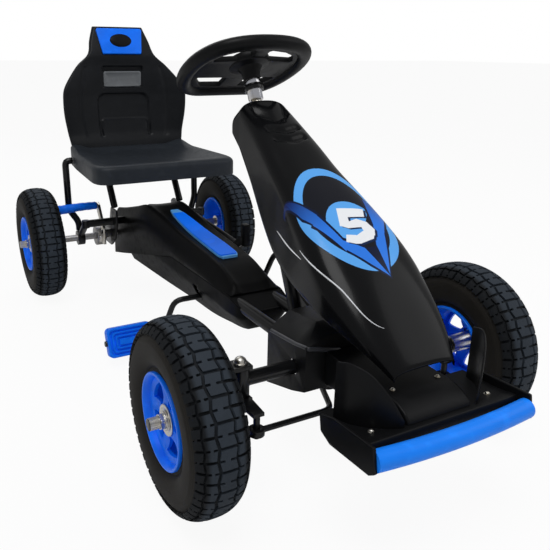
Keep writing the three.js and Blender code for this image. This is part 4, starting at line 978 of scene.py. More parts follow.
class KART_OT_rims(Operator):
    """Blue dished rims with their hubs, nuts and axle ends"""

    bl_idname = "kart.rims"
    bl_label = "Rims and hubs"

    def execute(self, context):
        for end in ENDS:
            for name, side in SIDES:
                owner = f"knuckle_{name}" if end == "front" else "rear_axle"
                self.wheel_middle(f"{end}_{name}", side, owner)
        return {"FINISHED"}

    def wheel_middle(self, prefix, side, owner):
        """One wheel's rim, hub, nut and axle end. The axle end belongs to the owner's node."""
        centre = middle_of(f"{prefix}_rim")
        rim = piece(f"{prefix}_rim_dish", *rim_mesh(side), "blue_rim", sharp=50, at=centre)
        soften(rim, RIM_ROUNDING * MM, 2, 40)
        settle(rim, f"{prefix}_rim")
        add(f"{prefix}_hub_flange", hub_mesh(side), "zinc_steel", f"{prefix}_hub", at=centre)
        low, high = BOXES[f"{prefix}_nut"]
        face = low.x if side > 0 else high.x
        at = (face, centre.y, centre.z)
        add(f"{prefix}_lock_nut", nut_mesh(side), "zinc_steel", f"{prefix}_nut", at=at)
        start = face + side * NUT_START * MM
        stop = low_of(owner).x if side < 0 else high_of(owner).x
        tip = axle_tip(side, (abs(stop) - abs(start)) / MM - 0.1)
        at = (start, centre.y, centre.z)
        add(f"{prefix}_axle_end", tip, "zinc_steel", owner, False, "zinc_steel", at=at)


# ---------- hood ----------

# Stations along the hood, in millimetres: [behind the front axle, half width, top, bottom], with top and
# bottom over the axle.
HOOD_STATIONS = [
    [-168, 47, 92, 78],
    [-137, 61, 124, 99],
    [-102, 72, 158, 114],
    [-62, 79, 192, 126],
    [-22, 77, 221, 134],
    [38, 68, 257, 143],
    [98, 57, 291, 162],
    [138, 52, 316, 194],
    [190, 46, 346, 250],
    [235, 42, 370, 296],
    [281, 40, 340, 331],
]
HOOD_END = 22
HOOD_END_RINGS = 24
HOOD_SIDES = 24
HOOD_WALL = 2.6
HOOD_WALL_SHARE = 0.3
HOOD_CORNER_POWER = 0.75
RECESS_START = 181
RECESS_HALF, RECESS_DEPTH = 30, 9
HOOD_GROOVES = (163, 143)
GROOVE_HALF, GROOVE_DEPTH = 29, 5
STRIPE_SIDE = -1
# Pin stripes on one side of the hood: marks of [behind the front axle, over the axle].
STRIPES = (
    [[-1, 186], [40, 191], [85, 201]],
    [[-128, 131], [-66, 173], [4, 197]],
)


def hood_section(offset):
    """Half width, top and bottom of the hood at a place, drawn in to a round end at the rear."""
    last = HOOD_STATIONS[-1]
    peak = HOOD_STATIONS[-2]
    if offset <= peak[0]:
        half, top, bottom = station_at(HOOD_STATIONS[:-1], offset)
    else:
        t = (offset - peak[0]) / (last[0] - peak[0])
        half, top, bottom = (a + (b - a) * t for a, b in zip(peak[1:], last[1:]))
    into_end = max(0, (offset - last[0] + HOOD_END) / HOOD_END)
    return half * math.sqrt(max(0, 1 - into_end ** 2)), top, bottom


def hood_point(offset, share):
    """A point on the hood. share runs from -1 at the right lower edge over the top to 1 at the left."""
    half, top, bottom = hood_section(offset)
    side = math.copysign(1, share)
    reach = abs(share)
    crown = min(0.6 * half, 0.8 * (top - bottom))
    if reach > 1 - HOOD_WALL_SHARE:
        t = (reach - (1 - HOOD_WALL_SHARE)) / HOOD_WALL_SHARE
        x, z = half, top - crown - t * (top - crown - bottom)
    else:
        angle = math.pi / 2 * (1 - reach / (1 - HOOD_WALL_SHARE))
        x = half * math.cos(angle) ** HOOD_CORNER_POWER
        z = top - crown + crown * math.sin(angle) ** HOOD_CORNER_POWER
    z -= hood_relief(x, offset)
    axle = middle_of("front_right_tyre")
    return Vector((side * x * MM, axle.y + offset * MM, axle.z + z * MM))


def hood_relief(x, offset):
    """How deep the recess round the column and the two grooves ahead of it are."""
    edge = offset - RECESS_START - 0.75 * x
    recess = RECESS_DEPTH * ease(RECESS_HALF - x, 0, 3.5) * ease(edge, 0, 5) * (1 - ease(edge, 9, 36))
    grooves = 0
    for middle in HOOD_GROOVES:
        along = abs(offset - 0.35 * x - middle)
        grooves = max(grooves, GROOVE_DEPTH * ease(GROOVE_HALF - x, 0, 4) * ease(6 - along, 0, 3.5))
    return max(recess, grooves)


def hood_place(offset, height):
    """The point on the striped side of the hood at a place and a height over the axle."""
    axle = middle_of("front_right_tyre")
    low, high = 0.0, 1.0
    for _ in range(24):
        share = (low + high) / 2
        over = hood_point(offset, STRIPE_SIDE * share).z - axle.z > height * MM
        low, high = (share, high) if over else (low, share)
    return hood_point(offset, STRIPE_SIDE * low)


class KART_OT_hood(Operator):
    """The polished hood with its graphic, pin stripes, recess and grooves"""

    bl_idname = "kart.hood"
    bl_label = "Hood"

    def execute(self, context):
        end = HOOD_STATIONS[-1][0]
        offsets = spread(HOOD_STATIONS[0][0], 115, 34) + spread(118, end - HOOD_END, 50)
        for i in range(1, HOOD_END_RINGS + 1):
            offsets.append(end - HOOD_END * (1 - math.sin(math.pi / 2 * i / HOOD_END_RINGS)))
        shares = spread(-1, 1, 2 * HOOD_SIDES + 1)
        rows = [[hood_point(offset, share) for share in shares] for offset in offsets]
        nose = rows[0]
        centre = sum(nose, Vector()) / len(nose)
        tip = [v.lerp(Vector((v.x, v.y, centre.z)), 0.5) + Vector((0, 3 * MM, 0)) for v in nose]
        rows.insert(0, tip)
        vertices, faces = skin(rows, wrap_across=False)
        hood = piece("hood_shell", vertices, faces, "gloss_black_plastic", sharp=0)
        wall = hood.modifiers.new("wall", "SOLIDIFY")
        wall.thickness = HOOD_WALL * MM
        wall.offset = -1
        refine(hood)
        settle(hood, "hood")
        lines = joined(*(stripe(marks) for marks in STRIPES))
        add("pin_stripes", lines, "white_mark", "hood", False)
        return {"FINISHED"}


def stripe(marks):
    """A thin raised line along the striped side of the hood, through [place, height] marks."""
    lift = Vector((STRIPE_SIDE * 0.15 * MM, 0, 0.15 * MM))
    path = []
    for offset in spread(marks[0][0], marks[-1][0], 40):
        path.append(hood_place(offset, station_at(marks, offset)[0]) + lift)
    return swept(path, lambda t: (0.25 + 0.75 * math.sin(math.pi * t) ** 0.5) * MM, 8)


# ---------- seat ----------

# The back's stations: [height over the pan, half width, how far back, how far its edges come forward].
BACK_STATIONS = [
    [-20, 138, -14, 6],
    [10, 144, -8, 12],
    [34, 148, 2, 18],
    [80, 155, 10, 30],
    [119, 156, 14, 38],
    [139, 153, 13, 38],
    [161, 139, 10, 26],
    [194, 111, 6, 8],
    [218, 84, 2, 0],
    [250, 74, 12, -4],
    [282, 62, 24, -4],
]
SEAT_WALL = 12
# Panels of the back: [half width, foot, top, corner radius], over the pan, in millimetres.
BACK_INSET = (68, 22, 128, 24)
BACK_STEP = (60, -30, 66, 6)
BACK_SLOT = (52, 179, 191, 4)
PLATE_BED = (51, 140, 181, 6)
HEAD_BED = (50, 217, 281, 3)
HEAD_PANEL = [(-47, -31), (47, -31), (49, -28), (57, 27), (54, 31), (-54, 31), (-57, 27), (-49, -28)]
BADGE_HALF_WIDTH, BADGE_HALF_HEIGHT = 27, 16
# Heights over the pan of the middles of the head panel, its badge and the plate.
HEAD_PANEL_PLACE, BADGE_PLACE, PLATE_PLACE = 249, 250, 160.5
# Levels of raised plates: [in from the edge, height].
BADGE_LEVELS = [(0, 0), (0, 1.2), (1.2, 2.4), (4, 3.4), (9, 4), (14, 4.2), (15.5, 4.2)]
PLATE_LEVELS = [(0, -2), (0, 0.6), (0.8, 1.6), (2.4, 2.0), (3.4, 1.4), (16, 1.4), (18, 1.4)]
BACK_LOW, BACK_HIGH = BACK_STATIONS[0][0], BACK_STATIONS[-1][0]
BACK_EDGE = 5
PAN_HALF_LENGTH = 150
PAN_SKIRT, PAN_LIP = -38, 11
PAN_DISH = [(22, 0.2), (30, -1.2), (40, -4.2), (60, -7.4), (90, -9), (120, -9.6), (140, -9.8), (148, -9.8)]
PAN_UNDERSIDE = [(4, PAN_SKIRT), (4.2, -20), (8, -16), (140, -18), (148, -18)]


def arch(x, height, half, foot, top, corner):
    """How far inside a round-topped panel a point is, in millimetres, and negative outside."""
    over = height - (top - corner)
    if over <= 0:
        return min(half - abs(x), height - foot)
    beside = abs(x) - (half - corner)
    if beside <= 0:
        return top - height
    return corner - math.hypot(beside, over)


def back_relief(x, height):
    """How far the front of the seat back is pushed back, in millimetres."""
    relief = 5 * ease(arch(x, height, *BACK_INSET), 0, 3.5)
    relief -= 6 * ease(arch(x, height, *BACK_STEP), 0, 3.5)
    slot = 9 * ease(arch(x, height, *BACK_SLOT), 0, 2)
    plate = 2.5 * ease(arch(x, height, *PLATE_BED), 0, 2)
    relief = max(relief, slot, plate)
    relief += 3.0 * ease(arch(x, height, *HEAD_BED), 0, 2)
    crease = abs(abs(x) - (112 - 0.0016 * (height - 90) ** 2))
    if 20 < height < 190:
        relief += 2.2 * (1 - ease(crease, 0, 7))
    return relief


def seat_origin():
    """Middle of the pan's rear edge, where the back's stations are measured from."""
    low, high = BOXES["seat_shell"]
    _, _, top_back, top_wing = BACK_STATIONS[-1]
    reach = top_back - top_wing + SEAT_WALL
    return Vector((0, high.y - reach * MM, low.z - PAN_SKIRT * MM))


def back_ring(height):
    """One ring round the back at a height over the pan: its front from the right, then its rear."""
    origin = seat_origin()
    half, back, wing = station_at(BACK_STATIONS, height)
    front, rear = [], []
    for across in spread(-1, 1, 89):
        x = across * half
        edge = half - abs(x)
        turn = BACK_EDGE - math.sqrt(max(0, BACK_EDGE ** 2 - (BACK_EDGE - min(BACK_EDGE, edge)) ** 2))
        y = back - wing * abs(across) ** 2.4
        shallow = 5 * (1 - ease(arch(x, height, half - 16, -10, 262, 20), 0, 10))
        front.append(origin + Vector((x, y + turn + back_relief(x, height), height)) * MM)
        rear.append(origin + Vector((x, y + SEAT_WALL - BACK_EDGE - turn * 0.6 + shallow, height)) * MM)
    return front + rear[::-1]


def pan_outline():
    """The pan's edge seen from above, front at -Y, about the pan's middle."""
    low, high = BOXES["seat_shell"]
    half = (high.x - low.x) / 2 / MM
    right = [(half - 26, -PAN_HALF_LENGTH), (half - 6, -138), (half, -112), (half * 0.94, 60),
             (half * 0.885, PAN_HALF_LENGTH)]
    left = [(-x, y) for x, y in reversed(right)]
    points = left[-1:] + right + left[:-1]
    smooth = []
    for (x0, y0), (x1, y1) in zip(points, points[1:] + points[:1]):
        steps = 16 if abs(x1 - x0) > 60 or abs(y1 - y0) > 60 else 5
        smooth += [(x0 + (x1 - x0) * k / steps, y0 + (y1 - y0) * k / steps) for k in range(steps)]
    for _ in range(3):
        trios = zip(smooth[-1:] + smooth[:-1], smooth, smooth[1:] + smooth[:1])
        smooth = [tuple((a + 2 * b + c) / 4 for a, b, c in zip(*trio)) for trio in trios]
    return smooth


def pan_mesh():
    """A dished seat pan with a rolled lip, a deep skirt and bolsters at its rear corners."""
    origin = seat_origin() + Vector((0, -PAN_HALF_LENGTH * MM, 0))
    outline = pan_outline()
    levels = [(4, PAN_SKIRT), (0, PAN_SKIRT), (0, -PAN_LIP - 8)]
    for i in range(6):
        angle = math.pi / 2 * i / 5
        levels.append((PAN_LIP * (1 - math.cos(angle)), -PAN_LIP + PAN_LIP * math.sin(angle)))
    top, faces = nested(outline, levels + PAN_DISH)
    for v in top:
        if v.z > -12:
            v.z += 12 * ease(v.y, 60, PAN_HALF_LENGTH) * ease(abs(v.x), 95, 140)
    under, under_faces = nested(outline, PAN_UNDERSIDE)
    open_foot = tuple(range(len(outline)))[::-1]
    faces = [face for face in faces if face != open_foot]
    under_faces = [face[::-1] for face in under_faces if face != open_foot]
    vertices, faces = joined((top, faces), (under, under_faces))
    return [origin + v * MM for v in vertices], faces


class KART_OT_seat(Operator):
    """The bucket seat, its head panel and its blank plate"""

    bl_idname = "kart.seat"
    bl_label = "Seat"

    def execute(self, context):
        back = skin([back_ring(height) for height in spread(BACK_LOW, BACK_HIGH, 122)])
        shell = piece("seat_back", *back, "seat_plastic", sharp=40)
        soften(shell, 3 * MM, 3, 60)
        settle(shell, "seat_shell")
        # The pan takes the lighter copy of black that paints top light and reflection on it.
        add("seat_pan", pan_mesh(), "pan_plastic", "seat_shell", False, sharp=50)
        self.head_panel()
        outline = [(BADGE_HALF_WIDTH * math.cos(a), BADGE_HALF_HEIGHT * math.sin(a)) for a in turns(48)]
        badge = self.raised(outline, BADGE_LEVELS, BADGE_PLACE, 1.2)
        add("head_badge", badge, "black_plastic", "headrest_panel", False, "black_plastic")
        plate = self.raised(rounded_rectangle(48, 18.5, 5), PLATE_LEVELS, PLATE_PLACE, -1)
        add("blank_plate", plate, "plate_grey", "seat_shell", False)
        return {"FINISHED"}

    def frame_at(self, height, forward):
        """A matrix on the front of the back, x across, y up along it and z towards the driver."""
        origin = seat_origin()
        below, above = station_at(BACK_STATIONS, height - 12), station_at(BACK_STATIONS, height + 12)
        slope = Vector((0, (above[1] - below[1]), 24)).normalized()
        across = Vector((1, 0, 0))
        out = across.cross(slope)
        row = station_at(BACK_STATIONS, height)
        at = origin + Vector((0, row[1], height)) * MM + out * forward * MM
        return Matrix.Translation(at) @ Matrix((across, slope, out)).transposed().to_4x4()

    def head_panel(self):
        mesh = cut_plate([in_metres(HEAD_PANEL)], 6 * MM, 1.2 * MM)
        place = self.frame_at(HEAD_PANEL_PLACE, -1)
        add("head_panel", moved(mesh, place), "blue_plastic", "headrest_panel")

    def raised(self, outline, levels, height, forward):
        """A raised plate on the front of the back, at a height over the pan."""
        return moved(mesh_in_metres(nested(outline, levels)), self.frame_at(height, forward))


# ---------- steering wheel and column ----------

WHEEL_TILT = math.radians(-25)
WHEEL_HALF, WHEEL_FAR, WHEEL_NEAR = 108, 86, -120
WHEEL_GRIP = 12.5
WHEEL_FLAT, WHEEL_WIDEST = 50, -18
WHEEL_CENTRE = Vector((0, -0.094, 0.554))
# The openings of the steering wheel's plate on one side, in millimetres.
WHEEL_SLOTS = (
    ((12, 20), (68, 13), (71, 17), (62, 34), (42, 46), (16, 52), (12, 49)),
    ((17, -83), (51, -83), (55, -80), (72, -54), (70, -49), (21, -49), (18, -53)),
)
# Turned parts round the steering axis: [radius, along the axis from the wheel's middle], in millimetres.
BOSS = [(0.01, -29), (13, -29), (14, -27), (15, -16), (20, -9), (32, -6), (34, -3), (34, 3), (33, 7),
        (28, 9.5), (14, 10.8), (0.01, 11)]
SLEEVE = [(8.4, -62), (11.6, -62), (12, -61.4), (12, -46), (12.6, -45), (12.6, -30), (8.4, -30)]
CLAMP = [(12.7, -47), (15.2, -47), (15.6, -46.4), (15.6, -38), (15.2, -37.4), (12.7, -37.4)]


def bezier(start, first, second, end, steps):
    """Points along a curve between two ends, drawn towards two handles. The last end is left out."""
    points = []
    for t in (i / steps for i in range(steps)):
        shares = ((1 - t) ** 3, 3 * t * (1 - t) ** 2, 3 * t ** 2 * (1 - t), t ** 3)
        x, y = (sum(share * value for share, value in zip(shares, values))
                for values in zip(start, first, second, end))
        points.append((x, y))
    return points


def wheel_outline(inset, steps=16):
    """The steering wheel's outline, flat towards the driver, drawn inside its edge."""
    half, far, near = WHEEL_HALF - inset, WHEEL_FAR - inset, WHEEL_NEAR + inset
    flat = WHEEL_FLAT - inset / 2
    corner = (flat + 0.7 * (half - flat), near)
    widest = (half, WHEEL_WIDEST)
    right = bezier((flat, near), corner, (half, near * 0.55), widest, steps)
    right += bezier(widest, (half, far * 0.6), (half * 0.66, far), (0, far), steps)
    left = [(-x, y) for x, y in reversed(right)]
    base = [(flat * (2 * i / 8 - 1), near) for i in range(1, 8)]
    return right + [(0, far)] + left + base


def wheel_matrix():
    """Puts the flat wheel on its column."""
    tilt = Matrix.Rotation(WHEEL_TILT, 4, "X")
    return Matrix.Translation(WHEEL_CENTRE) @ tilt @ Matrix.Rotation(math.pi, 4, "Z")


class KART_OT_steering(Operator):
    """The steering wheel, its hub cap and the bright column sleeve"""

    bl_idname = "kart.steering"
    bl_label = "Steering"

    def execute(self, context):
        place = wheel_matrix()
        path = [(x, y, 0) for x, y in in_metres(wheel_outline(WHEEL_GRIP))]
        rim = swept(path, WHEEL_GRIP * MM, 24, closed=True, flat=0.88)
        add("steering_grip", moved(rim, place), "black_plastic", "steering_wheel", sharp=0)
        outlines = [wheel_outline(WHEEL_GRIP + 4)]
        outlines += [[(side * x, y) for x, y in slot] for side in (-1, 1) for slot in WHEEL_SLOTS]
        plate = cut_plate([in_metres(outline) for outline in outlines], 9 * MM, 1.8 * MM)
        add("steering_plate", moved(plate, place), "black_plastic", "steering_wheel", False)
        along_axis = place @ Matrix.Rotation(-math.pi / 2, 4, "Y")
        for name, profile, segments, finish, node, slot in (
            ("steering_boss", BOSS, 48, "black_plastic", "steering_wheel", None),
            ("column_sleeve", SLEEVE, 40, "chrome", "steering_column", None),
            ("column_clamp", CLAMP, 40, "black_paint", "steering_column", "black_paint"),
        ):
            add(name, moved(lathed(profile, segments), along_axis), finish, node, False, slot)
        return {"FINISHED"}


# ---------- pedals, grip and bumper ----------

PEDAL_HALF_LENGTH, PEDAL_HALF_WIDTH, PEDAL_CORNER = 45, 28.5, 9
PEDAL_LEAN = math.radians(90 - 18)
# Ribs of a pedal from its edge inwards: [in from the edge, height].
PEDAL_RIBS = [(0, 6), (0, 8.2), (0.8, 9.2), (2.4, 9.8), (4.4, 9.8), (5.2, 6), (8.2, 6), (9, 9.6), (11.4, 9.6),
              (12.2, 6), (15.2, 6), (16, 9.6), (18.4, 9.6), (19.2, 6), (22.2, 6), (23, 9.6), (27.5, 9.6)]


class KART_OT_pedals(Operator):
    """Blue pedals with nested ribs, on a round crank"""

    bl_idname = "kart.pedals"
    bl_label = "Pedals"

    def execute(self, context):
        outline = rounded_rectangle(PEDAL_HALF_LENGTH, PEDAL_HALF_WIDTH, PEDAL_CORNER)
        levels = [(inset, -height) for inset, height in reversed(PEDAL_RIBS)] + PEDAL_RIBS
        mesh = mesh_in_metres(nested(outline, levels))
        for name, _ in SIDES:
            node = f"pedal_{name}"
            place = Matrix.Translation(middle_of(node)) @ Matrix.Rotation(PEDAL_LEAN, 4, "X")
            add(f"{node}_ribbed", moved(mesh, place), "blue_plastic", node, sharp=30)
        return {"FINISHED"}


class KART_OT_grip(Operator):
    """The blue hand grip of the brake lever"""

    bl_idname = "kart.grip"
    bl_label = "Brake grip"

    def execute(self, context):
        low, high = BOXES["brake_grip"]
        centre = (low + high) / 2
        radius = (high.z - low.z) / 2
        path = []
        for t in spread(0, 1, 40):
            droop = -3.0 * MM * ease(1 - t, 0.35, 1) + 1.0 * MM
            path.append((low.x + (high.x - low.x) * t, centre.y, centre.z + droop))

        def thickness(t):
            """A grip that thickens towards its outer end, with faint waves for the fingers."""
            return radius * (0.72 + 0.15 * (1 - t) ** 1.5 + 0.02 * math.cos(10 * math.pi * t))

        grip = swept(path, thickness, 28, rounded=5 * MM)
        add("brake_hand_grip", grip, "blue_plastic", "brake_grip", sharp=0)
        return {"FINISHED"}


class KART_OT_bumper(Operator):
    """The blue bowed tube across the nose"""

    bl_idname = "kart.bumper"
    bl_label = "Bumper"

    def execute(self, context):
        low, high = BOXES["bumper_tube"]
        radius = (high.z - low.z) / 2
        half = high.x - 0.3 * MM
        bow = (high.y - low.y) - 2 * radius
        path = [(t * half, low.y + radius + bow * t * t, (low.z + high.z) / 2) for t in spread(-1, 1, 33)]
        # The bar takes the brighter copy of blue that paints top light on it.
        add("bumper_bar", swept(path, radius * 0.99, 32), "bumper_blue", "bumper_tube")
        return {"FINISHED"}


# ---------- covers over the drive ----------

# Upper cover, in millimetres: [behind its front, half width of the ridges, ridges below the top, half width
# at the foot].
COVER_STATIONS = [
    [0, 33, 62, 48],
    [14, 35, 54, 51],
    [80, 37, 34, 52],
    [243, 39, 19, 53],
    [378, 42, 2, 56],
    [428, 44, 0, 57],
    [498, 46, 18, 58],
    [578, 47, 38, 58],
    [654, 44, 54, 54],
]
# The seam between cover and case: [behind the cover's front, below its top].
SEAM = [[-60, 90], [0, 72], [263, 75], [678, 181]]
# Lower case: [behind its front, half width, height over the floor, half width of its foot].
CASE_STATIONS = [
    [0, 34, 138, 26],
    [26, 50, 114, 24],
    [114, 51, 94, 18],
    [194, 51, 81, 14],
    [284, 51, 79, 16],
    [424, 51, 73, 20],
    [646, 50, 66, 26],
]
CASE_SHOULDER = 142
# How far in from their ends the cover and the case rise to their full height.
COVER_RISE, CASE_RISE = 16, 14
SHOULDER_DROP, TROUGH_DROP = 34, 6
COVER_BEND = 11
# How far the case's front stands ahead of the cover's, and how far its top stands under the seam.
CASE_AHEAD, SEAM_GAP = 48, 0.6
CASE_LID_LENGTH = 62
COVER_WALL = 2.4 * MM
CRANK_SLOT_HALF = 9
CRANK_SLOT_LOW, CRANK_SLOT_HIGH = 112, 146
# Layers of the strip: [name, finish, in from its edge, back from its front, height].
# The base layer's paler blue, showing beside the strip, is a painted highlight.
STRIP_LAYERS = (("strip_base", "edge_blue", 0, 0, 4.6), ("strip", "blue_plastic", 2.2, 5, 6.6))
STRIP_BELOW_RIDGE = 5.9


def seam_drop(place):
    """How far the seam lies below the cover's top."""
    for (near, start), (far, end) in zip(SEAM, SEAM[1:]):
        if place <= far:
            break
    return start + (end - start) * (place - near) / (far - near)


def dome(place, length_in, reach):
    """A round rise from 0 at an end to 1, a reach further in, at both ends of a length."""
    inside = min(place, length_in - place, reach) / reach
    return math.sqrt(max(0, 1 - (1 - inside) ** 2))


def cover_ring(place, size, origin):
    """One ring over the upper cover, from its right foot to its left foot."""
    ridge, drop, foot = station_at(COVER_STATIONS, place)
    seam = seam_drop(place)
    shoulder = min(drop + SHOULDER_DROP, seam - 1)
    trough = drop + TROUGH_DROP
    corners = [(foot, 0, seam), (foot - 0.5, 0, shoulder), (ridge, 0, drop), (ridge * 0.66, 0, trough),
               (0, 0, trough)]
    half = round_path(corners, COVER_BEND, 5)
    rise = dome(place, size, COVER_RISE)
    points = []
    for sign, part in ((-1, half), (1, half[-2::-1])):
        points += [origin + Vector((sign * p.x, place, -(seam + (p.z - seam) * rise))) * MM for p in part]
    return points


def case_ring(place, size, origin, heights):
    """One ring under the lower case, from its right top to its left top."""
    half, low, foot = station_at(CASE_STATIONS, place)
    seam = high_of("chain_cover").z / MM - seam_drop(place - CASE_AHEAD) - SEAM_GAP
    rise = dome(place, size, CASE_RISE)
    points = []
    for share in heights:
        z = seam + (low - seam) * share
        t = min(1, max(0, (CASE_SHOULDER - z) / (CASE_SHOULDER - low)))
        x = half + (foot - half) * (t * t * 0.35 + t * 0.65)
        points.append((x, seam + (z - seam) * rise))
    points += [(foot * k, points[-1][1]) for k in (0.6, 0.2)]
    ring = [Vector((-x, place, z)) for x, z in points] + [Vector((x, place, z)) for x, z in reversed(points)]
    return [origin + p * MM for p in ring]


def walled(obj, thickness):
    """Gives a sheet a thickness towards its inside."""
    wall = obj.modifiers.new("wall", "SOLIDIFY")
    wall.thickness = thickness
    wall.offset = -1
    wall.use_even_offset = True


class KART_OT_covers(Operator):
    """The long cover, its bright strip and the case under it"""

    bl_idname = "kart.covers"
    bl_label = "Covers"

    def execute(self, context):
        low, high = BOXES["chain_cover"]
        origin = Vector((0, low.y, high.z))
        size = (high.y - low.y) / MM
        places = [0, 0.5, 2, 4.5, 8, 12, COVER_RISE] + spread(22, size - 22, 80)
        places += [size - COVER_RISE, size - 8, size - 3, size]
        rings = [cover_ring(place, size, origin) for place in places]
        # The cover, the case and its lid take the darker copy of black that paints shade on them.
        cover = piece("cover_top", *skin(rings, wrap_across=False), "cover_plastic", sharp=0)
        walled(cover, COVER_WALL)
        settle(cover, "chain_cover")
        self.strip(low, high)
        self.case()
        return {"FINISHED"}

    def strip(self, cover_low, cover_high):
        """The bright strip in the trough, on a paler base that shows at its far side and its front as a
        painted highlight.
        """
        low, high = BOXES["cover_insert"]
        size = (high.y - low.y) / MM
        half_at = [[0, 15], [14, 20.5], [size * 0.55, 19.5], [size - 30, 14.5], [size, 9]]
        for name, finish, inset, front, top in STRIP_LAYERS:
            rows = []
            for place in spread(front, size - 5 * front, 60):
                half = station_at(half_at, place)[0]
                y = low.y / MM + place
                drop = station_at(COVER_STATIONS, y - cover_low.y / MM)[1]
                floor = cover_high.z / MM - drop - STRIP_BELOW_RIDGE
                left, right = half - inset, -half + 0.3 * inset
                ring = [(right, 0), (right, top - 1), (right + 1, top)]
                ring += [(left - 1, top), (left, top - 1), (left, 0)]
                rows.append([Vector((x, y, floor + z)) * MM for x, z in ring])
            add(f"cover_{name}", skin(rows), finish, "cover_insert", inset == 0, sharp=40)

    def case(self):
        """The closed lower case, open only where the crank comes out, and the lid in its front end."""
        low, high = BOXES["chain_case"]
        size = (high.y - low.y) / MM
        crank = middle_of("crank_rod").y / MM
        crank_place = crank - low.y / MM
        origin = Vector((0, low.y, 0))
        places = [0, 0.6, 2.5, 5.5, 9.5, CASE_RISE] + spread(20, crank_place - CRANK_SLOT_HALF, 34)
        places += spread(crank_place + CRANK_SLOT_HALF, size - CASE_RISE, 60) + [size - 8, size - 3, size]
        rings = [case_ring(place, size, origin, spread(0, 1, 26)) for place in places]
        lid = []
        for edge in (ring[0] for ring, place in zip(rings, places) if place < CASE_LID_LENGTH):
            half = 0.96 * edge.x
            lid.append([Vector((x, edge.y, edge.z - 1 * MM)) for x in (half, half / 3, -half / 3, -half)])
        add("case_lid", skin(lid, wrap_across=False), "cover_plastic", "chain_case", False)
        vertices, faces = skin(rings, wrap_across=False)
        kept = [face for face in faces if not self.at_crank([vertices[i] for i in face], crank)]
        case = piece("case_shell", vertices, kept, "cover_plastic", sharp=0)
        walled(case, -COVER_WALL)
        settle(case, "chain_case")

    def at_crank(self, corners, crank):
        """Whether a face of the case lies in the slot that the crank comes out of."""
        middle = sum(corners, Vector()) / len(corners) / MM
        beside = abs(middle.y - crank) < CRANK_SLOT_HALF
        return beside and CRANK_SLOT_LOW < middle.z < CRANK_SLOT_HIGH


# ---------- wing and front housing ----------

# A fin's top edge: [behind the bumper, out from the middle, over the floor], in millimetres.
FIN_STATIONS = [[24, 60, 180], [34, 74, 208], [48, 90, 232], [66, 104, 242], [86, 110, 238]]
FIN_FOOT = 163
BUMPER_AHEAD = 44
# Outlines of the wing's deck and its raised middle: [behind the bumper, over the floor].
DECK = [(104, 160), (60, 160.5), (50, 160), (24, 152), (14.5, 152), (14.2, 156), (14.2, 168), (16, 171.4),
        (20, 171.6), (30, 169), (50, 166.6), (104, 165)]
BLOCK = [(190, 140), (92, 156), (26, 162), (24, 166), (24, 171), (26, 176), (34, 182), (46, 187.5),
         (60, 190), (190, 192)]
BLOCK_HALF = 50
DECK_ROUNDING, BLOCK_ROUNDING = 1.2, 5
# The wing's bolts on one side: [out from the middle, behind the bumper, over the floor, diameter].
WING_BOLTS = ((92, 38, 167.6, 6), (64, 90, 165.4, 8), (36, 70, 190.4, 5))


def fin_mesh(side, bumper):
    """A tall blade that curves forward and inward, with a round top edge."""
    rows = []
    for place in spread(FIN_STATIONS[0][0], FIN_STATIONS[-1][0], 34):
        out, top = station_at(FIN_STATIONS, place)
        middle = (FIN_FOOT + top) / 2
        ring = ((0, FIN_FOOT), (0, middle), (0, top - 1.6), (0.8, top - 0.3), (2, top),
                (3.2, top - 0.3), (4, top - 1.6), (4, middle), (4, FIN_FOOT))
        rows.append([Vector((side * (out - inset), bumper + place, z)) * MM for inset, z in ring])
    return skin(rows)


def extruded(outline, bumper, half_width):
    """A bar across the kart, in millimetres, with a [behind the bumper, height] outline."""
    rows = [[Vector((x, bumper + y, z)) * MM for y, z in outline] for x in spread(-half_width, half_width, 9)]
    return skin(rows)


def domed_bolt(diameter, height):
    """A round-headed bolt with a washer, upright, in millimetres."""
    r = diameter / 2
    profile = [(0.01, 0), (r * 1.35, 0), (r * 1.35, height * 0.2), (r, height * 0.22), (r, height * 0.55)]
    profile += [(r * math.cos(a), height * (0.55 + 0.45 * math.sin(a))) for a in (0.3, 0.6, 0.9, 1.2, 1.45)]
    profile.append((0.01, height))
    return moved(lathed(profile, 24), Matrix.Rotation(-math.pi / 2, 4, "Y"))


class KART_OT_wing(Operator):
    """The wing with its fins, its raised middle and bolts"""

    bl_idname = "kart.wing"
    bl_label = "Wing"

    def execute(self, context):
        bumper = middle_of("end_plate_right").y / MM - BUMPER_AHEAD
        half = high_of("front_wing").x / MM
        meshes = [(extruded(DECK, bumper, half), DECK_ROUNDING),
                  (extruded(BLOCK, bumper, BLOCK_HALF), BLOCK_ROUNDING)]
        meshes += [(fin_mesh(side, bumper), 0) for _, side in SIDES]
        for number, (mesh, edge) in enumerate(meshes):
            part = piece(f"wing_{number}", *mesh, "black_plastic", sharp=38)
            if edge:
                soften(part, edge * MM, 4, 40)
            settle(part, "front_wing", number == 0)
        for _, side in SIDES:
            for x, place, z, size in WING_BOLTS:
                at = Matrix.Translation(Vector((side * x, bumper + place, z)) * MM)
                bolt = moved(domed_bolt(size, size * 0.6), at)
                add("wing_bolt", bolt, "zinc_steel", "front_wing", False, "zinc_steel")
        return {"FINISHED"}


LEDGE_RADIUS = 3.4
LEDGE_BEND = 3


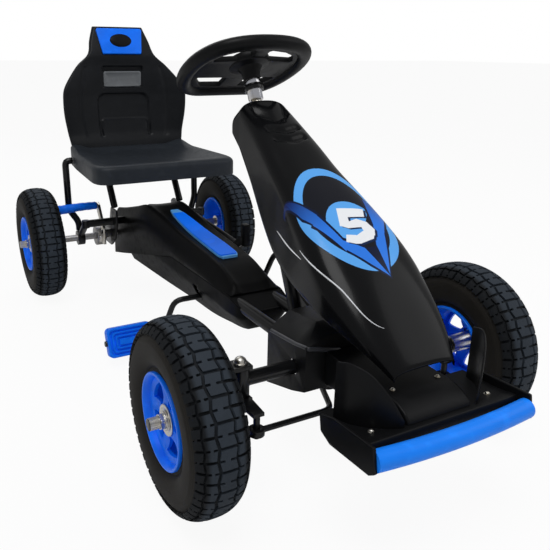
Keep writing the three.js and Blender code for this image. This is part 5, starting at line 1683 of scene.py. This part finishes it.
class KART_OT_housing(Operator):
    """The rolled ledge round the front housing"""

    bl_idname = "kart.housing"
    bl_label = "Front housing"

    def execute(self, context):
        low, high = BOXES["front_housing"]
        for name, side in SIDES:
            x = side * (high.x - 3.2 * MM)
            corners = [(x, high.y - 4 * MM, high.z - 33 * MM), (x, low.y + 31 * MM, high.z - 27 * MM),
                       (x, low.y + 1 * MM, high.z - 21.5 * MM), (side * 24 * MM, low.y, high.z - 34 * MM)]
            ledge = swept(round_path(corners, LEDGE_BEND * MM), LEDGE_RADIUS * MM, 14, rounded=2 * MM)
            # The ledge takes the lighter copy of black that paints its highlight.
            add(f"housing_ledge_{name}", ledge, "ledge_plastic", "front_housing", False, sharp=0)
        return {"FINISHED"}


# ---------- king pins ----------

CAP_DOME = 8


class KART_OT_kingpins(Operator):
    """The king pins with their domed cap nuts"""

    bl_idname = "kart.kingpins"
    bl_label = "King pins"

    def execute(self, context):
        upright = Matrix.Rotation(-math.pi / 2, 4, "Y")
        for name, _ in SIDES:
            node = f"kingpin_{name}"
            size = (high_of(node).z - low_of(node).z) / MM
            dome_start = size - CAP_DOME
            profile = [(0.01, 0), (8.6, 0), (9.6, 1), (9.6, 5.2), (7, 5.4), (7, size - 15.4),
                       (10.4, size - 15.2), (10.4, size - 13.4), (9.4, size - 13.2), (9.4, dome_start)]
            profile += [(8.6 * math.cos(a), dome_start + CAP_DOME * math.sin(a))
                        for a in (0.1, 0.4, 0.7, 1.0, 1.3, 1.5)]
            profile.append((0.01, size))
            mesh = moved(lathed(profile, 40), upright)
            at = (middle_of(node).x, middle_of(node).y, low_of(node).z)
            add(f"kingpin_cap_{name}", mesh, "zinc_steel", node, sharp=40, at=at)
        return {"FINISHED"}


# ---------- frame pieces kept from the CAD ----------

# Edge roundings of the CAD pieces, in millimetres, where they differ from the usual one.
ROUNDINGS = {"front_housing": 7, "end_plate_left": 1.6, "end_plate_right": 1.6, "brake_lever": 0.8}
USUAL_ROUNDING = 1.2


class KART_OT_frame(Operator):
    """Finishes and rounded edges for the CAD pieces that stay"""

    bl_idname = "kart.frame"
    bl_label = "Frame"

    def execute(self, context):
        for name, node in frame["nodes"].items():
            if node.hide_render:
                continue
            node.data.shade_smooth()
            node.data.normals_split_custom_set([(0, 0, 0)] * len(node.data.loops))
            node.data.materials.clear()
            node.data.materials.append(FINISHES[SLOT_OF[name]])
            weld = node.modifiers.new("weld", "WELD")
            weld.merge_threshold = 0.01 * MM
            soften(node, ROUNDINGS.get(name, USUAL_ROUNDING) * MM, 3, 33)
        return {"FINISHED"}


# ---------- stage ----------

FLOOR_HALF = 30
WHITE = (1, 1, 1, 1)
# The lamps: [name, place, size, the stage's value for its power].
LAMPS = (
    ("key", (-0.7, -1.0, 3.0), 1.6, "key_power"),
    ("fill", (1.9, -1.3, 1.7), 1.8, "fill_power"),
    ("back", (0.2, 2.2, 2.0), 1.6, "fill_power"),
)
LAMP_TARGET = Vector((0, 0, 0.25))


class KART_OT_stage(Operator):
    """A pale floor, soft lights and the camera"""

    bl_idname = "kart.stage"
    bl_label = "Stage"

    def execute(self, context):
        stage = context.scene.kart_stage
        self.floor(stage.floor_glow)
        self.world(stage.world_level)
        for name, place, size, power in LAMPS:
            self.lamp(name, place, size, getattr(stage, power))
        self.camera(stage)
        context.scene.view_settings.view_transform = "Standard"
        return {"FINISHED"}

    def floor(self, glow):
        """A wide matt floor that takes shadows, part of it plain white as the camera sees it."""
        corners = [(x * FLOOR_HALF, y * FLOOR_HALF, 0) for x, y in ((-1, -1), (1, -1), (1, 1), (-1, 1))]
        mesh = bpy.data.meshes.new("floor")
        mesh.from_pydata(corners, [], [(0, 1, 2, 3)])
        finish = Finish("floor", roughness=0.9, specular_ior_level=0.1)
        tint = finish.mix(finish.noise(3, 2), (0.84, 0.84, 0.84, 1), (0.87, 0.87, 0.87, 1))
        finish.set("Base Color", tint)
        seen = finish.node("ShaderNodeLightPath", output="Is Camera Ray")
        shaded_floor = Value(finish, finish.shader.outputs["BSDF"])
        white = finish.node("ShaderNodeEmission", inputs={"Color": WHITE, "Strength": 1})
        blend = finish.node("ShaderNodeMixShader", inputs=[seen * glow, shaded_floor, white])
        finish.feed(finish.surface, blend)
        mesh.materials.append(finish.material)
        linked("floor", mesh)

    def world(self, strength):
        """An even white surround: at one strength as light, and plain white as the camera sees it."""
        world = bpy.data.worlds.new("studio")
        bpy.context.scene.world = world
        world.use_nodes = True
        tree = world.node_tree
        tree.nodes.clear()
        blend = tree.nodes.new("ShaderNodeMixShader")
        for number, amount in ((1, strength), (2, 1)):
            background = tree.nodes.new("ShaderNodeBackground")
            background.inputs["Color"].default_value = WHITE
            background.inputs["Strength"].default_value = amount
            tree.links.new(background.outputs[0], blend.inputs[number])
        path = tree.nodes.new("ShaderNodeLightPath")
        either = tree.nodes.new("ShaderNodeMath")
        either.operation = "MAXIMUM"
        for number, ray in enumerate(("Is Camera Ray", "Is Transmission Ray")):
            tree.links.new(path.outputs[ray], either.inputs[number])
        tree.links.new(either.outputs[0], blend.inputs[0])
        output = tree.nodes.new("ShaderNodeOutputWorld")
        tree.links.new(blend.outputs[0], output.inputs["Surface"])

    def lamp(self, name, place, size, power):
        light = bpy.data.lights.new(name, "AREA")
        light.shape = "DISK"
        light.size = size
        light.energy = power
        lamp = linked(name, light, place)
        lamp.rotation_euler = (LAMP_TARGET - lamp.location).to_track_quat("-Z", "Y").to_euler()

    def camera(self, stage):
        data = bpy.data.cameras.new("camera")
        data.lens = stage.lens
        data.sensor_width = 36
        data.shift_x = stage.shift_across
        data.shift_y = stage.shift_up
        data.clip_start = 0.01
        turn = Matrix.Rotation(stage.yaw, 3, "Z") @ Matrix.Rotation(-stage.pitch, 3, "Y")
        forward = turn @ Vector((1, 0, 0))
        right = forward.cross(Vector((0, 0, 1))).normalized()
        up = right.cross(forward)
        c, s = math.cos(stage.roll), math.sin(stage.roll)
        right, up = right * c + up * s, up * c - right * s
        axes = Matrix((right, up, -forward)).transposed().to_4x4()
        camera = linked("camera", data)
        camera.matrix_world = Matrix.Translation(stage.eye) @ axes
        bpy.context.scene.camera = camera


# ---------- add-on ----------

class KART_PT_panel(Panel):
    """Lists the kart's steps, sizes and colours"""

    bl_idname = "KART_PT_panel"
    bl_label = "Pedal kart"
    bl_space_type = "VIEW_3D"
    bl_region_type = "UI"
    bl_category = "Kart"

    def draw(self, context):
        layout = self.layout
        for operator in STEPS:
            layout.operator(operator.bl_idname)
        for group in (context.scene.kart_paint, context.scene.kart_tyre, context.scene.kart_stage):
            for name in group.__annotations__:
                layout.prop(group, name)


GROUPS = {"kart_paint": KartPaint, "kart_tyre": KartTyre, "kart_stage": KartStage}
STEPS = (
    KART_OT_tyres,
    KART_OT_rims,
    KART_OT_hood,
    KART_OT_seat,
    KART_OT_steering,
    KART_OT_pedals,
    KART_OT_grip,
    KART_OT_bumper,
    KART_OT_covers,
    KART_OT_wing,
    KART_OT_housing,
    KART_OT_kingpins,
    KART_OT_frame,
    KART_OT_stage,
)


def register():
    for item in (*GROUPS.values(), *STEPS, KART_PT_panel):
        bpy.utils.register_class(item)
    for name, group in GROUPS.items():
        setattr(bpy.types.Scene, name, PointerProperty(type=group))


def unregister():
    for name in GROUPS:
        delattr(bpy.types.Scene, name)
    for item in (KART_PT_panel, *reversed(STEPS), *reversed(GROUPS.values())):
        bpy.utils.unregister_class(item)


def main():
    register()
    FINISHES.update(make_finishes())
    for step in STEPS:
        family, name = step.bl_idname.split(".")
        getattr(getattr(bpy.ops, family), name)()


if __name__ == "__main__":
    main()
